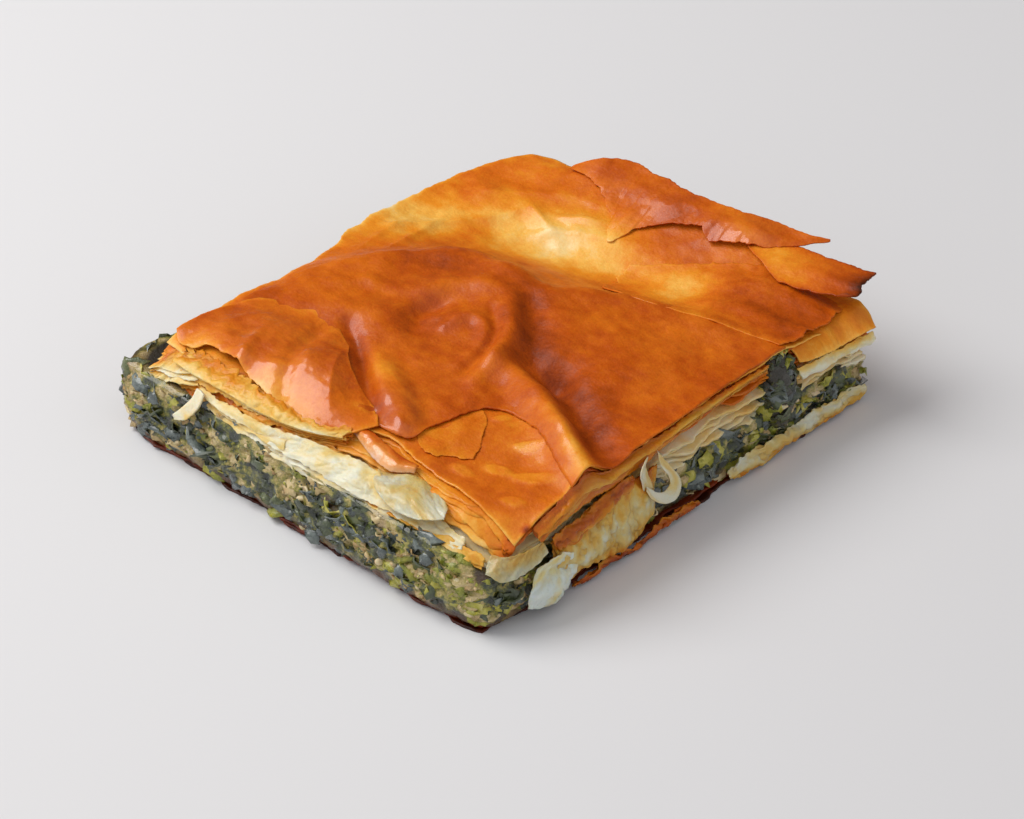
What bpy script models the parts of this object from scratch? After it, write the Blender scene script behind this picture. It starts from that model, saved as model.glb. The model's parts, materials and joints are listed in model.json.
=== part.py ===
"""A cut square of spanakopita: a thin base pastry, a spinach filling, a flaky top pastry and a side pastry.

The slice lies flat on Z = 0. X runs along the front cut face, which shows the filling, and a viewer of that
face looks along +Y. The +X face was the edge of the tray, where pastry covers part of the filling.
"""

import math

import bmesh
import bpy
from mathutils import Vector, noise

MM = 0.001

# Driving dimensions
SLICE_X = 116.4 * MM
SLICE_Y = 128 * MM
BASE_THICKNESS = 2.2 * MM
FILLING_TOP = 17.4 * MM
CRUST_LEVEL = 25.5 * MM
LAYER_GAP = 0.35 * MM

# Outlines, each a rounded rectangle: half sizes, centre and the exponent that rounds its corners
BASE_HALF = (56.2 * MM, SLICE_Y / 2 - 1.0 * MM)
BASE_CENTRE_X = -2.1 * MM
FILLING_HALF = (SLICE_X / 2, SLICE_Y / 2)
FILLING_CENTRE = (-2.7 * MM, 0.3 * MM)
CRUST_HALF = (52.6 * MM, 61.6 * MM)
CRUST_CENTRE = (0.9 * MM, 1.0 * MM)
CORNER_EXPONENT = 22.0
CRUST_CORNER_EXPONENT = 28.0

# Cuts of each slab along X, Y and Z
BASE_CUTS = (15, 17, 1)
FILLING_CUTS = (19, 21, 6)
CRUST_CUTS = (28, 30, 6)

# The thinner filling along the tray edge
TAPER_START_X = 14 * MM
TAPER_DEPTH = 6.8 * MM

# A lump of spinach that has squeezed out of the tray edge and up past the crust
LUMP_CENTRE = (52.2 * MM, 33 * MM, 14.2 * MM)
LUMP_RADII = (5.4 * MM, 5.2 * MM, 11.3 * MM)

# The pale pastry that covers the tray edge beside the front corner
SIDE_Y_RANGE = (-50 * MM, -9 * MM)
SIDE_X = 54.7 * MM
SIDE_HEIGHT = 15.5 * MM
SIDE_THICKNESS = 1.3 * MM

LEAF_THICKNESS = 1.3 * MM

# Folds of the crust: start, end, height and half width. A negative height is a hollow.
FOLDS = {
    "left_blister": ((-42, -37), (-16, -38), 4.4, 10),
    "crease_beside_blister": ((-19, -22), (2, -42), -3.0, 5),
    "middle_crest": ((-40, -12), (-12, 14), 4.6, 10),
    "middle_crest_right": ((-12, 14), (44, 33), 3.4, 9),
    "back_hollow": ((-38, 16), (6, 34), -4.6, 11),
    "right_hollow": ((6, 34), (22, 42), -3.0, 7),
    "back_wave": ((-38, 50), (8, 57), 5.4, 8),
    "back_wave_right": ((8, 57), (34, 59), 5.0, 7),
    "long_fold": ((-2, 4), (20, -20), 3.0, 7),
    "long_fold_front": ((20, -20), (49, -27), 3.6, 5.5),
    "swirl_hollow": ((-6, -14), (6, -6), -2.2, 7),
    "front_blister": ((8, -44), (24, -40), 2.4, 6),
    "right_tongue": ((16, 41), (44, 47), 4.6, 8),
}
FRONT_CORNER = (57, -60)
FRONT_CORNER_DROOP, FRONT_CORNER_REACH = 10.5, 12.0
FILLING_CORNER_DROOP = 4.2
RIGHT_CORNER = (58, 56)
RIGHT_CORNER_DROOP, RIGHT_CORNER_REACH = 9.0, 11.0
FRONT_EDGE_DROOP, FRONT_EDGE_REACH = 3.4, 7.0


def smooth_step(low, high, value):
    """0 below low, 1 above high and a smooth rise between them."""
    t = min(1.0, max(0.0, (value - low) / (high - low)))
    return t * t * (3 - 2 * t)


def rounded(u, v, half, exponent):
    """The point of a rounded rectangle of these half sizes that (u, v) of the square from -1 to 1 maps to."""
    reach = max(abs(u), abs(v))
    if reach < 1e-9:
        return 0.0, 0.0
    corner = (abs(u / reach) ** exponent + abs(v / reach) ** exponent) ** (-1 / exponent)
    scale = 1 + (corner - 1) * reach**2
    return half[0] * u * scale, half[1] * v * scale


def wander(x, y, z, pitch, seed):
    """Smooth noise from about -1 to 1 that changes over this pitch."""
    return noise.noise(Vector((x / pitch + seed, y / pitch - seed, z / pitch + 2 * seed)))


def gaussian(distance, reach):
    return math.exp(-((distance / reach) ** 2))


def fold_height(x, y, start, end, height, half_width):
    """The height that one fold adds at (x, y), all in millimetres."""
    along_x, along_y = end[0] - start[0], end[1] - start[1]
    share = ((x - start[0]) * along_x + (y - start[1]) * along_y) / (along_x**2 + along_y**2)
    share = min(1.0, max(0.0, share))
    distance = math.hypot(x - start[0] - share * along_x, y - start[1] - share * along_y)
    return height * gaussian(distance, half_width)


def base_top(x, y):
    return BASE_THICKNESS + 0.25 * MM * wander(x, y, 0, 18 * MM, 4)


def filling_top(x, y):
    """The height of the filling: lower along the tray edge, which is at +X."""
    taper = smooth_step(TAPER_START_X, SLICE_X / 2, x) * smooth_step(-62 * MM, -30 * MM, y)
    to_front = math.hypot(x / MM - FRONT_CORNER[0], y / MM - FRONT_CORNER[1])
    droop = FILLING_CORNER_DROOP * gaussian(to_front, FRONT_CORNER_REACH)
    return FILLING_TOP - TAPER_DEPTH * taper - droop * MM + 0.5 * MM * wander(x, y, 0, 30 * MM, 7)


def lifted_top(x, y):
    """The height of the crust's highest leaves, with their folds, hollows and drooping front."""
    across, along = x / MM, y / MM
    height = CRUST_LEVEL / MM + 0.5 * wander(x, y, 0, 16 * MM, 11)
    for fold in FOLDS.values():
        height += fold_height(across, along, *fold)
    to_front = math.hypot(across - FRONT_CORNER[0], along - FRONT_CORNER[1])
    height -= FRONT_CORNER_DROOP * gaussian(to_front, FRONT_CORNER_REACH)
    height -= FRONT_EDGE_DROOP * gaussian(along + CRUST_HALF[1] / MM, FRONT_EDGE_REACH)
    return height * MM


def crust_top(x, y):
    """The height of the crust's body, which is lower under the leaf that lifts off its right corner."""
    to_right = math.hypot(x / MM - RIGHT_CORNER[0], y / MM - RIGHT_CORNER[1])
    return lifted_top(x, y) - RIGHT_CORNER_DROOP * MM * gaussian(to_right, RIGHT_CORNER_REACH)


def beside_side_pastry(y):
    """1 where the side pastry covers the tray edge and 0 away from it."""
    after_start = smooth_step(SIDE_Y_RANGE[0] - 9 * MM, SIDE_Y_RANGE[0], y)
    return after_start * (1 - smooth_step(SIDE_Y_RANGE[1], SIDE_Y_RANGE[1] + 9 * MM, y))


def material(name, colour, roughness):
    made = bpy.data.materials.new(name)
    made.use_nodes = True
    shader = made.node_tree.nodes["Principled BSDF"]
    shader.inputs["Base Color"].default_value = (*colour, 1)
    shader.inputs["Roughness"].default_value = roughness
    shader.inputs["Metallic"].default_value = 0
    return made


def cut_block(name, cuts):
    """A cube from -1 to 1, cut into cuts[0] by cuts[1] by cuts[2] blocks on its faces."""
    bpy.ops.mesh.primitive_cube_add(size=2)
    block = bpy.context.object
    block.name = block.data.name = name
    mesh = bmesh.new()
    mesh.from_mesh(block.data)
    for axis, count in enumerate(cuts):
        normal = Vector((axis == 0, axis == 1, axis == 2))
        for step in range(1, count):
            everything = [*mesh.verts, *mesh.edges, *mesh.faces]
            point = normal * (2 * step / count - 1)
            bmesh.ops.bisect_plane(mesh, geom=everything, plane_co=point, plane_no=normal)
    mesh.to_mesh(block.data)
    mesh.free()
    return block


def shape(block, place):
    """Moves each point of a block to place(u, v, w)."""
    for vertex in block.data.vertices:
        vertex.co = place(*vertex.co)


def place_base(u, v, w):
    inset = 1 - 0.012 * (w + 1)
    x, y = rounded(u * inset, v * inset, BASE_HALF, CORNER_EXPONENT)
    edge = max(abs(u), abs(v)) ** 8
    x += 0.7 * MM * edge * wander(x, y, 0, 9 * MM, 1) + BASE_CENTRE_X
    x -= 2.6 * MM * beside_side_pastry(y) * smooth_step(40 * MM, 50 * MM, x)
    y += 0.7 * MM * edge * wander(x, y, 0, 9 * MM, 2)
    return x, y, base_top(x, y) if w > 0 else 0.0


def place_filling(u, v, w):
    """The filling bulges below its middle, and draws in towards the top and behind the side pastry."""
    rise = (w + 1) / 2
    bulge = 1 - 0.028 * (2 * abs(rise - 0.38)) ** 2 - 0.02 * smooth_step(0.6, 1.0, rise)
    x, y = rounded(u * bulge, v * bulge, FILLING_HALF, CORNER_EXPONENT)
    edge = max(abs(u), abs(v)) ** 8
    tray_side = edge * smooth_step(40 * MM, 56 * MM, x)
    covered = beside_side_pastry(y)
    low, high = base_top(x, y) + LAYER_GAP, filling_top(x, y)
    z = low + (high - low) * rise
    x += 0.8 * MM * edge * wander(x, y, z, 8 * MM, 5) * (1 - covered)
    y += 0.8 * MM * edge * wander(x, y, z, 8 * MM, 6)
    x += FILLING_CENTRE[0] - 2.6 * MM * tray_side * covered
    return x, y + FILLING_CENTRE[1], z


def place_crust(u, v, w):
    """Each level of the crust is a bundle of leaves, set back a little from the one below."""
    rise = (w + 1) / 2
    front_set_back = 6.5 * MM * rise * smooth_step(0.3, 1.0, -v)
    x, y = rounded(u, v, CRUST_HALF, CRUST_CORNER_EXPONENT)
    level = round(rise * CRUST_CUTS[2])
    edge = max(abs(u), abs(v)) ** 10
    leaf = 0.7 * MM if level % 2 else -0.4 * MM
    x += edge * (leaf * u + 1.0 * MM * wander(x, y, level * 9 * MM, 13 * MM, 8)) - 1.5 * MM * rise * u
    y += edge * (leaf * v + 1.3 * MM * wander(x, y, level * 9 * MM, 13 * MM, 9)) + front_set_back
    x, y = x + CRUST_CENTRE[0], y + CRUST_CENTRE[1]
    x -= 2.4 * MM * (1 - rise) * beside_side_pastry(y) * smooth_step(40 * MM, 52 * MM, x)
    low, high = filling_top(x, y) + LAYER_GAP, crust_top(x, y)
    return x, y, low + (high - low) * rise


def curved_leaf(name, cuts, place, thickness):
    """A thin closed leaf: a grid whose points go to place(u, v), given its thickness."""
    bpy.ops.mesh.primitive_grid_add(x_subdivisions=cuts[0], y_subdivisions=cuts[1], size=2)
    leaf = bpy.context.object
    leaf.name = leaf.data.name = name
    for vertex in leaf.data.vertices:
        vertex.co = place(vertex.co.x, vertex.co.y)
    solid = leaf.modifiers.new("thickness", "SOLIDIFY")
    solid.thickness = thickness
    solid.offset = 0
    return leaf


def place_side(u, v):
    """The side pastry hangs down the tray edge in shallow vertical folds."""
    y = SIDE_Y_RANGE[0] + (SIDE_Y_RANGE[1] - SIDE_Y_RANGE[0]) * (u + 1) / 2
    height = SIDE_HEIGHT - 3 * MM * smooth_step(0.2, 1.0, u) - 2 * MM * smooth_step(0.4, 1.0, -u)
    z = 0.7 * MM + (height - 0.7 * MM) * (v + 1) / 2
    x = SIDE_X + 0.5 * MM * math.sin(9 * u) + 0.7 * MM * (1 - v) / 2
    return x, y, z


def place_right_leaf(u, v):
    """The browned leaf that lifts off the crust over its back right corner and ends in a point."""
    narrowing = smooth_step(-0.3, 1, u)
    x = (46 + 11 * u) * MM
    y = (56 + 6.5 * narrowing + (7 - 4.5 * narrowing) * v) * MM
    lift = 4.4 * smooth_step(-0.6, 1, u) + 1.2 * smooth_step(0, 1, v) - 0.6
    return x, y, lifted_top(x, y) + lift * MM


def place_back_leaf(u, v):
    """The torn leaf that stands up along the back of the crust."""
    narrowing = smooth_step(0.3, 1, u)
    x = (4 + 29.5 * u) * MM
    y = (58.8 + 4 * narrowing + (4.8 - 2.6 * narrowing) * v) * MM
    lift = 2.6 * smooth_step(0, 1, v) + 1.2 * smooth_step(0, 1, u) - 0.6
    return x, y, lifted_top(x, y) + lift * MM


def boolean(target, other, operation):
    step = target.modifiers.new(f"{operation.lower()}_{other.name}", "BOOLEAN")
    step.operation = operation
    step.solver = "EXACT"
    step.object = other


def helper(thing):
    """Keeps a shape that only a Boolean uses out of the finished part."""
    thing.hide_render = True
    thing.display_type = "WIRE"
    return thing


def spinach_lump(name, growth):
    """The knobbly lump at the tray edge, grown by this much on all sides."""
    bpy.ops.mesh.primitive_uv_sphere_add(segments=14, ring_count=10, radius=1)
    lump = bpy.context.object
    lump.name = lump.data.name = name
    for vertex in lump.data.vertices:
        knobs = 1 + 0.13 * noise.noise(vertex.co * 1.7)
        for axis in range(3):
            vertex.co[axis] *= LUMP_RADII[axis] * knobs + growth
    lump.location = LUMP_CENTRE
    return helper(lump)


def finish(thing, made_of, parts):
    thing.data.materials.clear()
    thing.data.materials.append(made_of)
    for polygon in thing.data.polygons:
        polygon.use_smooth = True
    for holder in thing.users_collection:
        holder.objects.unlink(thing)
    parts.objects.link(thing)


def centre_on_base(things):
    """Moves the meshes together so that the part's box has its bottom centre at the origin."""
    graph = bpy.context.evaluated_depsgraph_get()
    corners = [Vector(corner) for thing in things for corner in thing.evaluated_get(graph).bound_box]
    for axis in (0, 1):
        middle = (min(c[axis] for c in corners) + max(c[axis] for c in corners)) / 2
        for thing in bpy.data.objects:
            thing.location[axis] -= middle


def main():
    for old in list(bpy.data.objects):
        bpy.data.objects.remove(old)
    parts = bpy.data.collections.new("spanakopita_slice")
    helpers = bpy.data.collections.new("helpers")
    for collection in (parts, helpers):
        bpy.context.scene.collection.children.link(collection)

    baked = material("baked_base", (0.36, 0.16, 0.05), 0.55)
    spinach = material("spinach", (0.07, 0.09, 0.02), 0.4)
    golden = material("golden_crust", (0.6, 0.24, 0.05), 0.3)
    pale = material("pale_pastry", (0.78, 0.66, 0.42), 0.45)

    base = cut_block("base_pastry", BASE_CUTS)
    shape(base, place_base)
    finish(base, baked, parts)

    filling = cut_block("spinach_filling", FILLING_CUTS)
    shape(filling, place_filling)
    lump = spinach_lump("lump", 0)
    boolean(filling, lump, "UNION")
    finish(filling, spinach, parts)

    crust = cut_block("top_pastry", CRUST_CUTS)
    shape(crust, place_crust)
    right_leaf = helper(curved_leaf("right_leaf", (8, 6), place_right_leaf, LEAF_THICKNESS))
    back_leaf = helper(curved_leaf("back_leaf", (12, 3), place_back_leaf, LEAF_THICKNESS))
    lump_space = spinach_lump("lump_space", LAYER_GAP)
    boolean(crust, right_leaf, "UNION")
    boolean(crust, back_leaf, "UNION")
    boolean(crust, lump_space, "DIFFERENCE")
    finish(crust, golden, parts)

    side = curved_leaf("side_pastry", (14, 5), place_side, SIDE_THICKNESS)
    finish(side, pale, parts)

    for thing in (lump, lump_space, right_leaf, back_leaf):
        finish(thing, golden, helpers)
    centre_on_base(parts.objects)


main()
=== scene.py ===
"""A cut square of spanakopita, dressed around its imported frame.

The slice has four sub-assemblies: the baked base, the spinach filling, the flaky crust and the soft pastry
that hangs down the edge that lay against the tray. Sizes and places are in millimetres in the slice's own
plan, whose X runs along the front cut face and Y away from it. SlicePlan turns them into the frame's metres.
"""

import itertools
import json
import logging
import math
from dataclasses import dataclass, field
from enum import Enum
from typing import Callable, Sequence

import bmesh
import bpy
import numpy as np
from mathutils import Matrix, Vector

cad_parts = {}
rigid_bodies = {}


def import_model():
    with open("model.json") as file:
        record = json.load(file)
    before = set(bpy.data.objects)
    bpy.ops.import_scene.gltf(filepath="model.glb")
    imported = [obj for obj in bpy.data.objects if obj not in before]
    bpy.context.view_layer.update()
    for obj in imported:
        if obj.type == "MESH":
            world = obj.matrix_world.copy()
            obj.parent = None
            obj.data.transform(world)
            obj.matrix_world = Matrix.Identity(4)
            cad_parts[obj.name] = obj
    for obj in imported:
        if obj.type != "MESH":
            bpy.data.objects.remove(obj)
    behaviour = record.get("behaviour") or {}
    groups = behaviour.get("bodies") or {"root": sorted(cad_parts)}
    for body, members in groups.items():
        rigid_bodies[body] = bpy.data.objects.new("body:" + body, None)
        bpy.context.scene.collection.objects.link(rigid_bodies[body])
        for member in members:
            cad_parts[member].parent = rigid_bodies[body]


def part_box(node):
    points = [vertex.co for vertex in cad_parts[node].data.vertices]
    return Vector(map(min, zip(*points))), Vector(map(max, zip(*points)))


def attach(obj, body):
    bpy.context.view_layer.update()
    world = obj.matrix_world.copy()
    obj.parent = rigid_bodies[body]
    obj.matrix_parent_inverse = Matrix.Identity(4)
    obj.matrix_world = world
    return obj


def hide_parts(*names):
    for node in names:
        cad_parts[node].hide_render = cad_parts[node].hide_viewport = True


for startup in list(bpy.data.objects):
    bpy.data.objects.remove(startup)
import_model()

LOG = logging.getLogger("spanakopita")
MM = 0.001

Array = np.ndarray
Point = tuple[float, float]
Point3 = tuple[float, float, float]
Colour = tuple[float, float, float]
HeightRule = Callable[[Array, Array], Array]


class Slot(Enum):
    """The record's material slots."""

    BASE = "base_pastry"
    FILLING = "spinach_filling"
    CRUST = "top_pastry"
    SIDE = "side_pastry"


class FoldShape(Enum):
    """How a fold's height falls away from its line."""

    ROUND = "round"
    CREASED = "creased"


# ------------------------------------------------------------------------------
# Numbers and shapes that every sub-assembly uses
# ------------------------------------------------------------------------------


class Noise:
    """Smooth gradient noise over three coordinates, from a fixed seed."""

    def __init__(self, seed: int) -> None:
        """Draws the lattice's slopes.

        Args:
            seed: The seed of the lattice.
        """
        draw = np.random.default_rng(seed)
        self._order = draw.permutation(256)
        slopes = draw.normal(size=(256, 3))
        self._slopes = slopes / np.linalg.norm(slopes, axis=1, keepdims=True)

    def at(self, x: Array, y: Array, z: Array | float = 0.0, pitch: float = 10.0) -> Array:
        """Reads the noise.

        Args:
            x: First coordinates.
            y: Second coordinates.
            z: Third coordinates.
            pitch: The distance over which the noise changes.

        Returns:
            Values from about -1 to 1.
        """
        where = np.broadcast_arrays(np.asarray(x) / pitch, np.asarray(y) / pitch, np.asarray(z) / pitch)
        cell = [np.floor(c).astype(int) for c in where]
        part = [c - low for c, low in zip(where, cell)]
        fade = [p**3 * (p * (p * 6 - 15) + 10) for p in part]
        total = np.zeros(where[0].shape)
        for corner in itertools.product((0, 1), repeat=3):
            index = np.zeros(where[0].shape, int)
            weight = np.ones(where[0].shape)
            for low, step, rise in zip(cell, corner, fade):
                index = self._order[(index + low + step) & 255]
                weight = weight * (rise if step else 1 - rise)
            slope = self._slopes[index]
            total += weight * sum(slope[..., k] * (part[k] - corner[k]) for k in range(3))
        return total * 1.5

    def fractal(
        self, x: Array, y: Array, z: Array | float = 0.0, pitch: float = 10.0, octaves: int = 3
    ) -> Array:
        """Adds noise of ever finer pitch.

        Args:
            x: First coordinates.
            y: Second coordinates.
            z: Third coordinates.
            pitch: The coarsest pitch.
            octaves: How many pitches are added, each half the one before.

        Returns:
            Values from about -1.5 to 1.5.
        """
        return sum(0.5**k * self.at(x, y, z, pitch / 2**k) for k in range(octaves))


def smooth_step(low: float, high: float, value: Array) -> Array:
    """Rises smoothly from 0 at low to 1 at high.

    Args:
        low: Where the rise starts.
        high: Where the rise ends.
        value: The values to read.

    Returns:
        Shares from 0 to 1.
    """
    t = np.clip((np.asarray(value, float) - low) / (high - low), 0, 1)
    return t * t * (3 - 2 * t)


def bell(distance: Array, reach: float) -> Array:
    """A bell curve of height 1.

    Args:
        distance: Distances from the middle.
        reach: The distance at which it has fallen to about a third.

    Returns:
        The curve's heights.
    """
    return np.exp(-((distance / reach) ** 2))


def soft_ridge(noise: Array, soft: float = 0.1) -> Array:
    """Turns noise into rounded ridges along its zero lines.

    Args:
        noise: The noise.
        soft: How round the ridges are.

    Returns:
        Heights of 0.3 and less.
    """
    return 0.3 - np.hypot(noise, soft)


def spline(points: Sequence[Sequence[float]], count: int) -> Array:
    """A smooth curve through a few points.

    Args:
        points: The points it passes through, of any number of coordinates.
        count: How many samples to return.

    Returns:
        Samples at even steps along the curve's chords.
    """
    knots = np.asarray(points, float)
    chord = np.linalg.norm(np.diff(knots, axis=0), axis=1)
    at = np.concatenate([[0], np.cumsum(chord)])
    slope = np.empty_like(knots)
    slope[1:-1] = (knots[2:] - knots[:-2]) / (at[2:] - at[:-2])[:, None]
    slope[0] = (knots[1] - knots[0]) / chord[0]
    slope[-1] = (knots[-1] - knots[-2]) / chord[-1]
    want = np.linspace(0, at[-1], count)
    k = np.clip(np.searchsorted(at, want, side="right") - 1, 0, len(chord) - 1)
    t = ((want - at[k]) / chord[k])[:, None]
    span = chord[k][:, None]
    return (
        (2 * t**3 - 3 * t**2 + 1) * knots[k]
        + (t**3 - 2 * t**2 + t) * span * slope[k]
        + (3 * t**2 - 2 * t**3) * knots[k + 1]
        + (t**3 - t**2) * span * slope[k + 1]
    )


def ragged(line: Array, amount: float, seed: int, grain: float = 3.0) -> Array:
    """Tears a line's edge: moves its samples sideways by fine and coarse noise.

    Args:
        line: Samples of a line in the plan.
        amount: The most that the tear moves it, in millimetres.
        seed: The seed of the tear.
        grain: The pitch of the tear's teeth.

    Returns:
        The torn line, whose two ends have stayed in place.
    """
    along = np.gradient(line[:, :2], axis=0)
    along /= np.linalg.norm(along, axis=1, keepdims=True) + 1e-9
    noise = Noise(seed)
    step = np.linalg.norm(np.diff(line[:, :2], axis=0), axis=1)
    run = np.concatenate([[0], np.cumsum(step)])
    teeth = 0.55 * noise.at(run, 0 * run, 3.1, 3 * grain) + 0.5 * noise.at(run, 0 * run, 7.7, grain)
    teeth += 0.3 * noise.at(run, 0 * run, 1.3, grain / 3)
    ends = np.minimum(1, 6 * np.minimum(np.linspace(0, 1, len(run)), np.linspace(1, 0, len(run))))
    moved = line.copy()
    moved[:, 0] += along[:, 1] * teeth * amount * ends
    moved[:, 1] -= along[:, 0] * teeth * amount * ends
    return moved


def grid_faces(rows: int, columns: int, closed: bool = False) -> list[tuple[int, ...]]:
    """The quads of a grid of points, which are in row order.

    Args:
        rows: How many rows of points.
        columns: How many points a row has.
        closed: Whether each row's end joins its start.

    Returns:
        Corner numbers of each quad.
    """
    last = columns if closed else columns - 1
    r, c = np.meshgrid(np.arange(rows - 1), np.arange(last), indexing="ij")
    after = (c + 1) % columns
    quads = np.stack(
        [r * columns + c, r * columns + after, (r + 1) * columns + after, (r + 1) * columns + c], -1,
    )
    return [tuple(q) for q in quads.reshape(-1, 4).tolist()]


@dataclass(frozen=True)
class Fold:
    """A ridge or a hollow along a line in the plan; each point holds X, Y and the height there."""

    path: tuple[Point3, ...]
    half_width: float
    shape: FoldShape = FoldShape.ROUND

    def height(self, x: Array, y: Array) -> Array:
        """The height that the fold adds.

        Args:
            x: Plan X.
            y: Plan Y.

        Returns:
            Heights in millimetres.
        """
        line = spline(self.path, 10 * len(self.path)) if len(self.path) > 2 else np.asarray(self.path, float)
        nearest = np.full(np.shape(x), 1e9)
        amount = np.zeros(np.shape(x))
        for start, end in zip(line[:-1], line[1:]):
            run = end[:2] - start[:2]
            share = np.clip(((x - start[0]) * run[0] + (y - start[1]) * run[1]) / (run @ run + 1e-12), 0, 1)
            away = np.hypot(x - start[0] - share * run[0], y - start[1] - share * run[1])
            closer = away < nearest
            nearest = np.where(closer, away, nearest)
            amount = np.where(closer, start[2] + share * (end[2] - start[2]), amount)
        if self.shape is FoldShape.CREASED:
            soft = 0.12 * self.half_width
            return amount * np.exp((soft - np.hypot(nearest, soft)) / self.half_width)
        return amount * bell(nearest, self.half_width)


@dataclass(frozen=True)
class Puff:
    """A blister: an oval pillow with a flat middle and round sides."""

    centre: Point
    radii: Point
    height_mm: float
    turn: float = 0.0
    steep: float = 1.5

    def height(self, x: Array, y: Array) -> Array:
        """The height that the blister adds.

        Args:
            x: Plan X.
            y: Plan Y.

        Returns:
            Heights in millimetres.
        """
        across, along = x - self.centre[0], y - self.centre[1]
        c, s = math.cos(self.turn), math.sin(self.turn)
        r2 = ((c * across + s * along) / self.radii[0]) ** 2 + ((c * along - s * across) / self.radii[1]) ** 2
        return self.height_mm * np.exp(-(r2**self.steep))


@dataclass(frozen=True)
class Toast:
    """A patch that baked darker, or paler where the amount is negative."""

    centre: Point
    reach: float
    amount: float

    def height(self, x: Array, y: Array) -> Array:
        """The browning that the patch adds.

        Args:
            x: Plan X.
            y: Plan Y.

        Returns:
            Amounts of browning.
        """
        return self.amount * bell(np.hypot(x - self.centre[0], y - self.centre[1]), self.reach)


@dataclass(frozen=True)
class SlicePlan:
    """Where the slice's plan lies in the frame."""

    base_centre: Point = (-2.08, 0.02)
    shift: Vector = field(default_factory=lambda: Vector((0, 0, 0)))

    @classmethod
    def from_frame(cls) -> "SlicePlan":
        """Reads the plan's place from the base pastry's box.

        Returns:
            The plan, placed.
        """
        low, high = (Vector(corner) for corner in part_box(Slot.BASE.value))
        middle = (low + high) / 2
        return cls(shift=Vector((middle.x - cls.base_centre[0] * MM, middle.y - cls.base_centre[1] * MM, 0)))

    def place(self, points: Array) -> Array:
        """Turns plan millimetres into frame metres.

        Args:
            points: Points in the plan, one to a row.

        Returns:
            The same points in the frame.
        """
        return points * MM + np.array(self.shift)


def make_piece(
    name: str, points: Array, faces: Sequence[Sequence[int]], plan: SlicePlan, values: dict[str, Array]
) -> bpy.types.Object:
    """Makes a smooth mesh object with per-point values for its material.

    Args:
        name: The piece's name.
        points: Its points in the plan, in millimetres.
        faces: Corner numbers of each face.
        plan: Where the plan lies in the frame.
        values: Named values, one for each point.

    Returns:
        The piece, in the scene.
    """
    mesh = bpy.data.meshes.new(name)
    mesh.from_pydata(plan.place(points).tolist(), [], faces)
    for title, numbers in values.items():
        layer = mesh.attributes.new(title, "FLOAT", "POINT")
        layer.data.foreach_set("value", np.ascontiguousarray(numbers, np.float32).ravel())
    mesh.shade_smooth()
    piece = bpy.data.objects.new(name, mesh)
    bpy.context.scene.collection.objects.link(piece)
    return piece


def make_sheet(
    name: str,
    points: Array,
    faces: Sequence[Sequence[int]],
    plan: SlicePlan,
    browning: Array,
    butter: Array,
    thickness: float,
) -> bpy.types.Object:
    """Makes a thin sheet of pastry, whose thickness is a modifier that goes downwards from its face.

    Args:
        name: The sheet's name.
        points: Its grid of points in the plan, in millimetres.
        faces: Corner numbers of each face.
        plan: Where the plan lies in the frame.
        browning: How browned each point is, with any painted shade and painted light in it.
        butter: How buttered each point is.
        thickness: Its thickness in millimetres.

    Returns:
        The sheet, in the scene.
    """
    values = {"browning": np.clip(browning, 0, 1), "butter": np.clip(butter, 0, 1)}
    piece = make_piece(name, points.reshape(-1, 3), faces, plan, values)
    solid = piece.modifiers.new("thickness", "SOLIDIFY")
    solid.thickness = thickness * MM
    solid.offset = -1
    solid.use_even_offset = False
    return piece


def settle(piece: bpy.types.Object, slot: Slot, material: bpy.types.Material, *nodes: Slot) -> None:
    """Gives a piece its material, attaches it to the root body and hides the frame's nodes that it stands
    for.

    Args:
        piece: The finished piece.
        slot: The record's slot that it belongs to; not used.
        material: Its material.
        nodes: The frame's nodes that it stands for.
    """
    if not piece.data.materials:
        piece.data.materials.append(material)
    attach(piece, "root")
    if nodes:
        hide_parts(*(node.value for node in nodes))
    LOG.info("%s: %d faces", piece.name, len(piece.data.polygons))


# ------------------------------------------------------------------------------
# The slice's main surfaces
# ------------------------------------------------------------------------------


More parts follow.
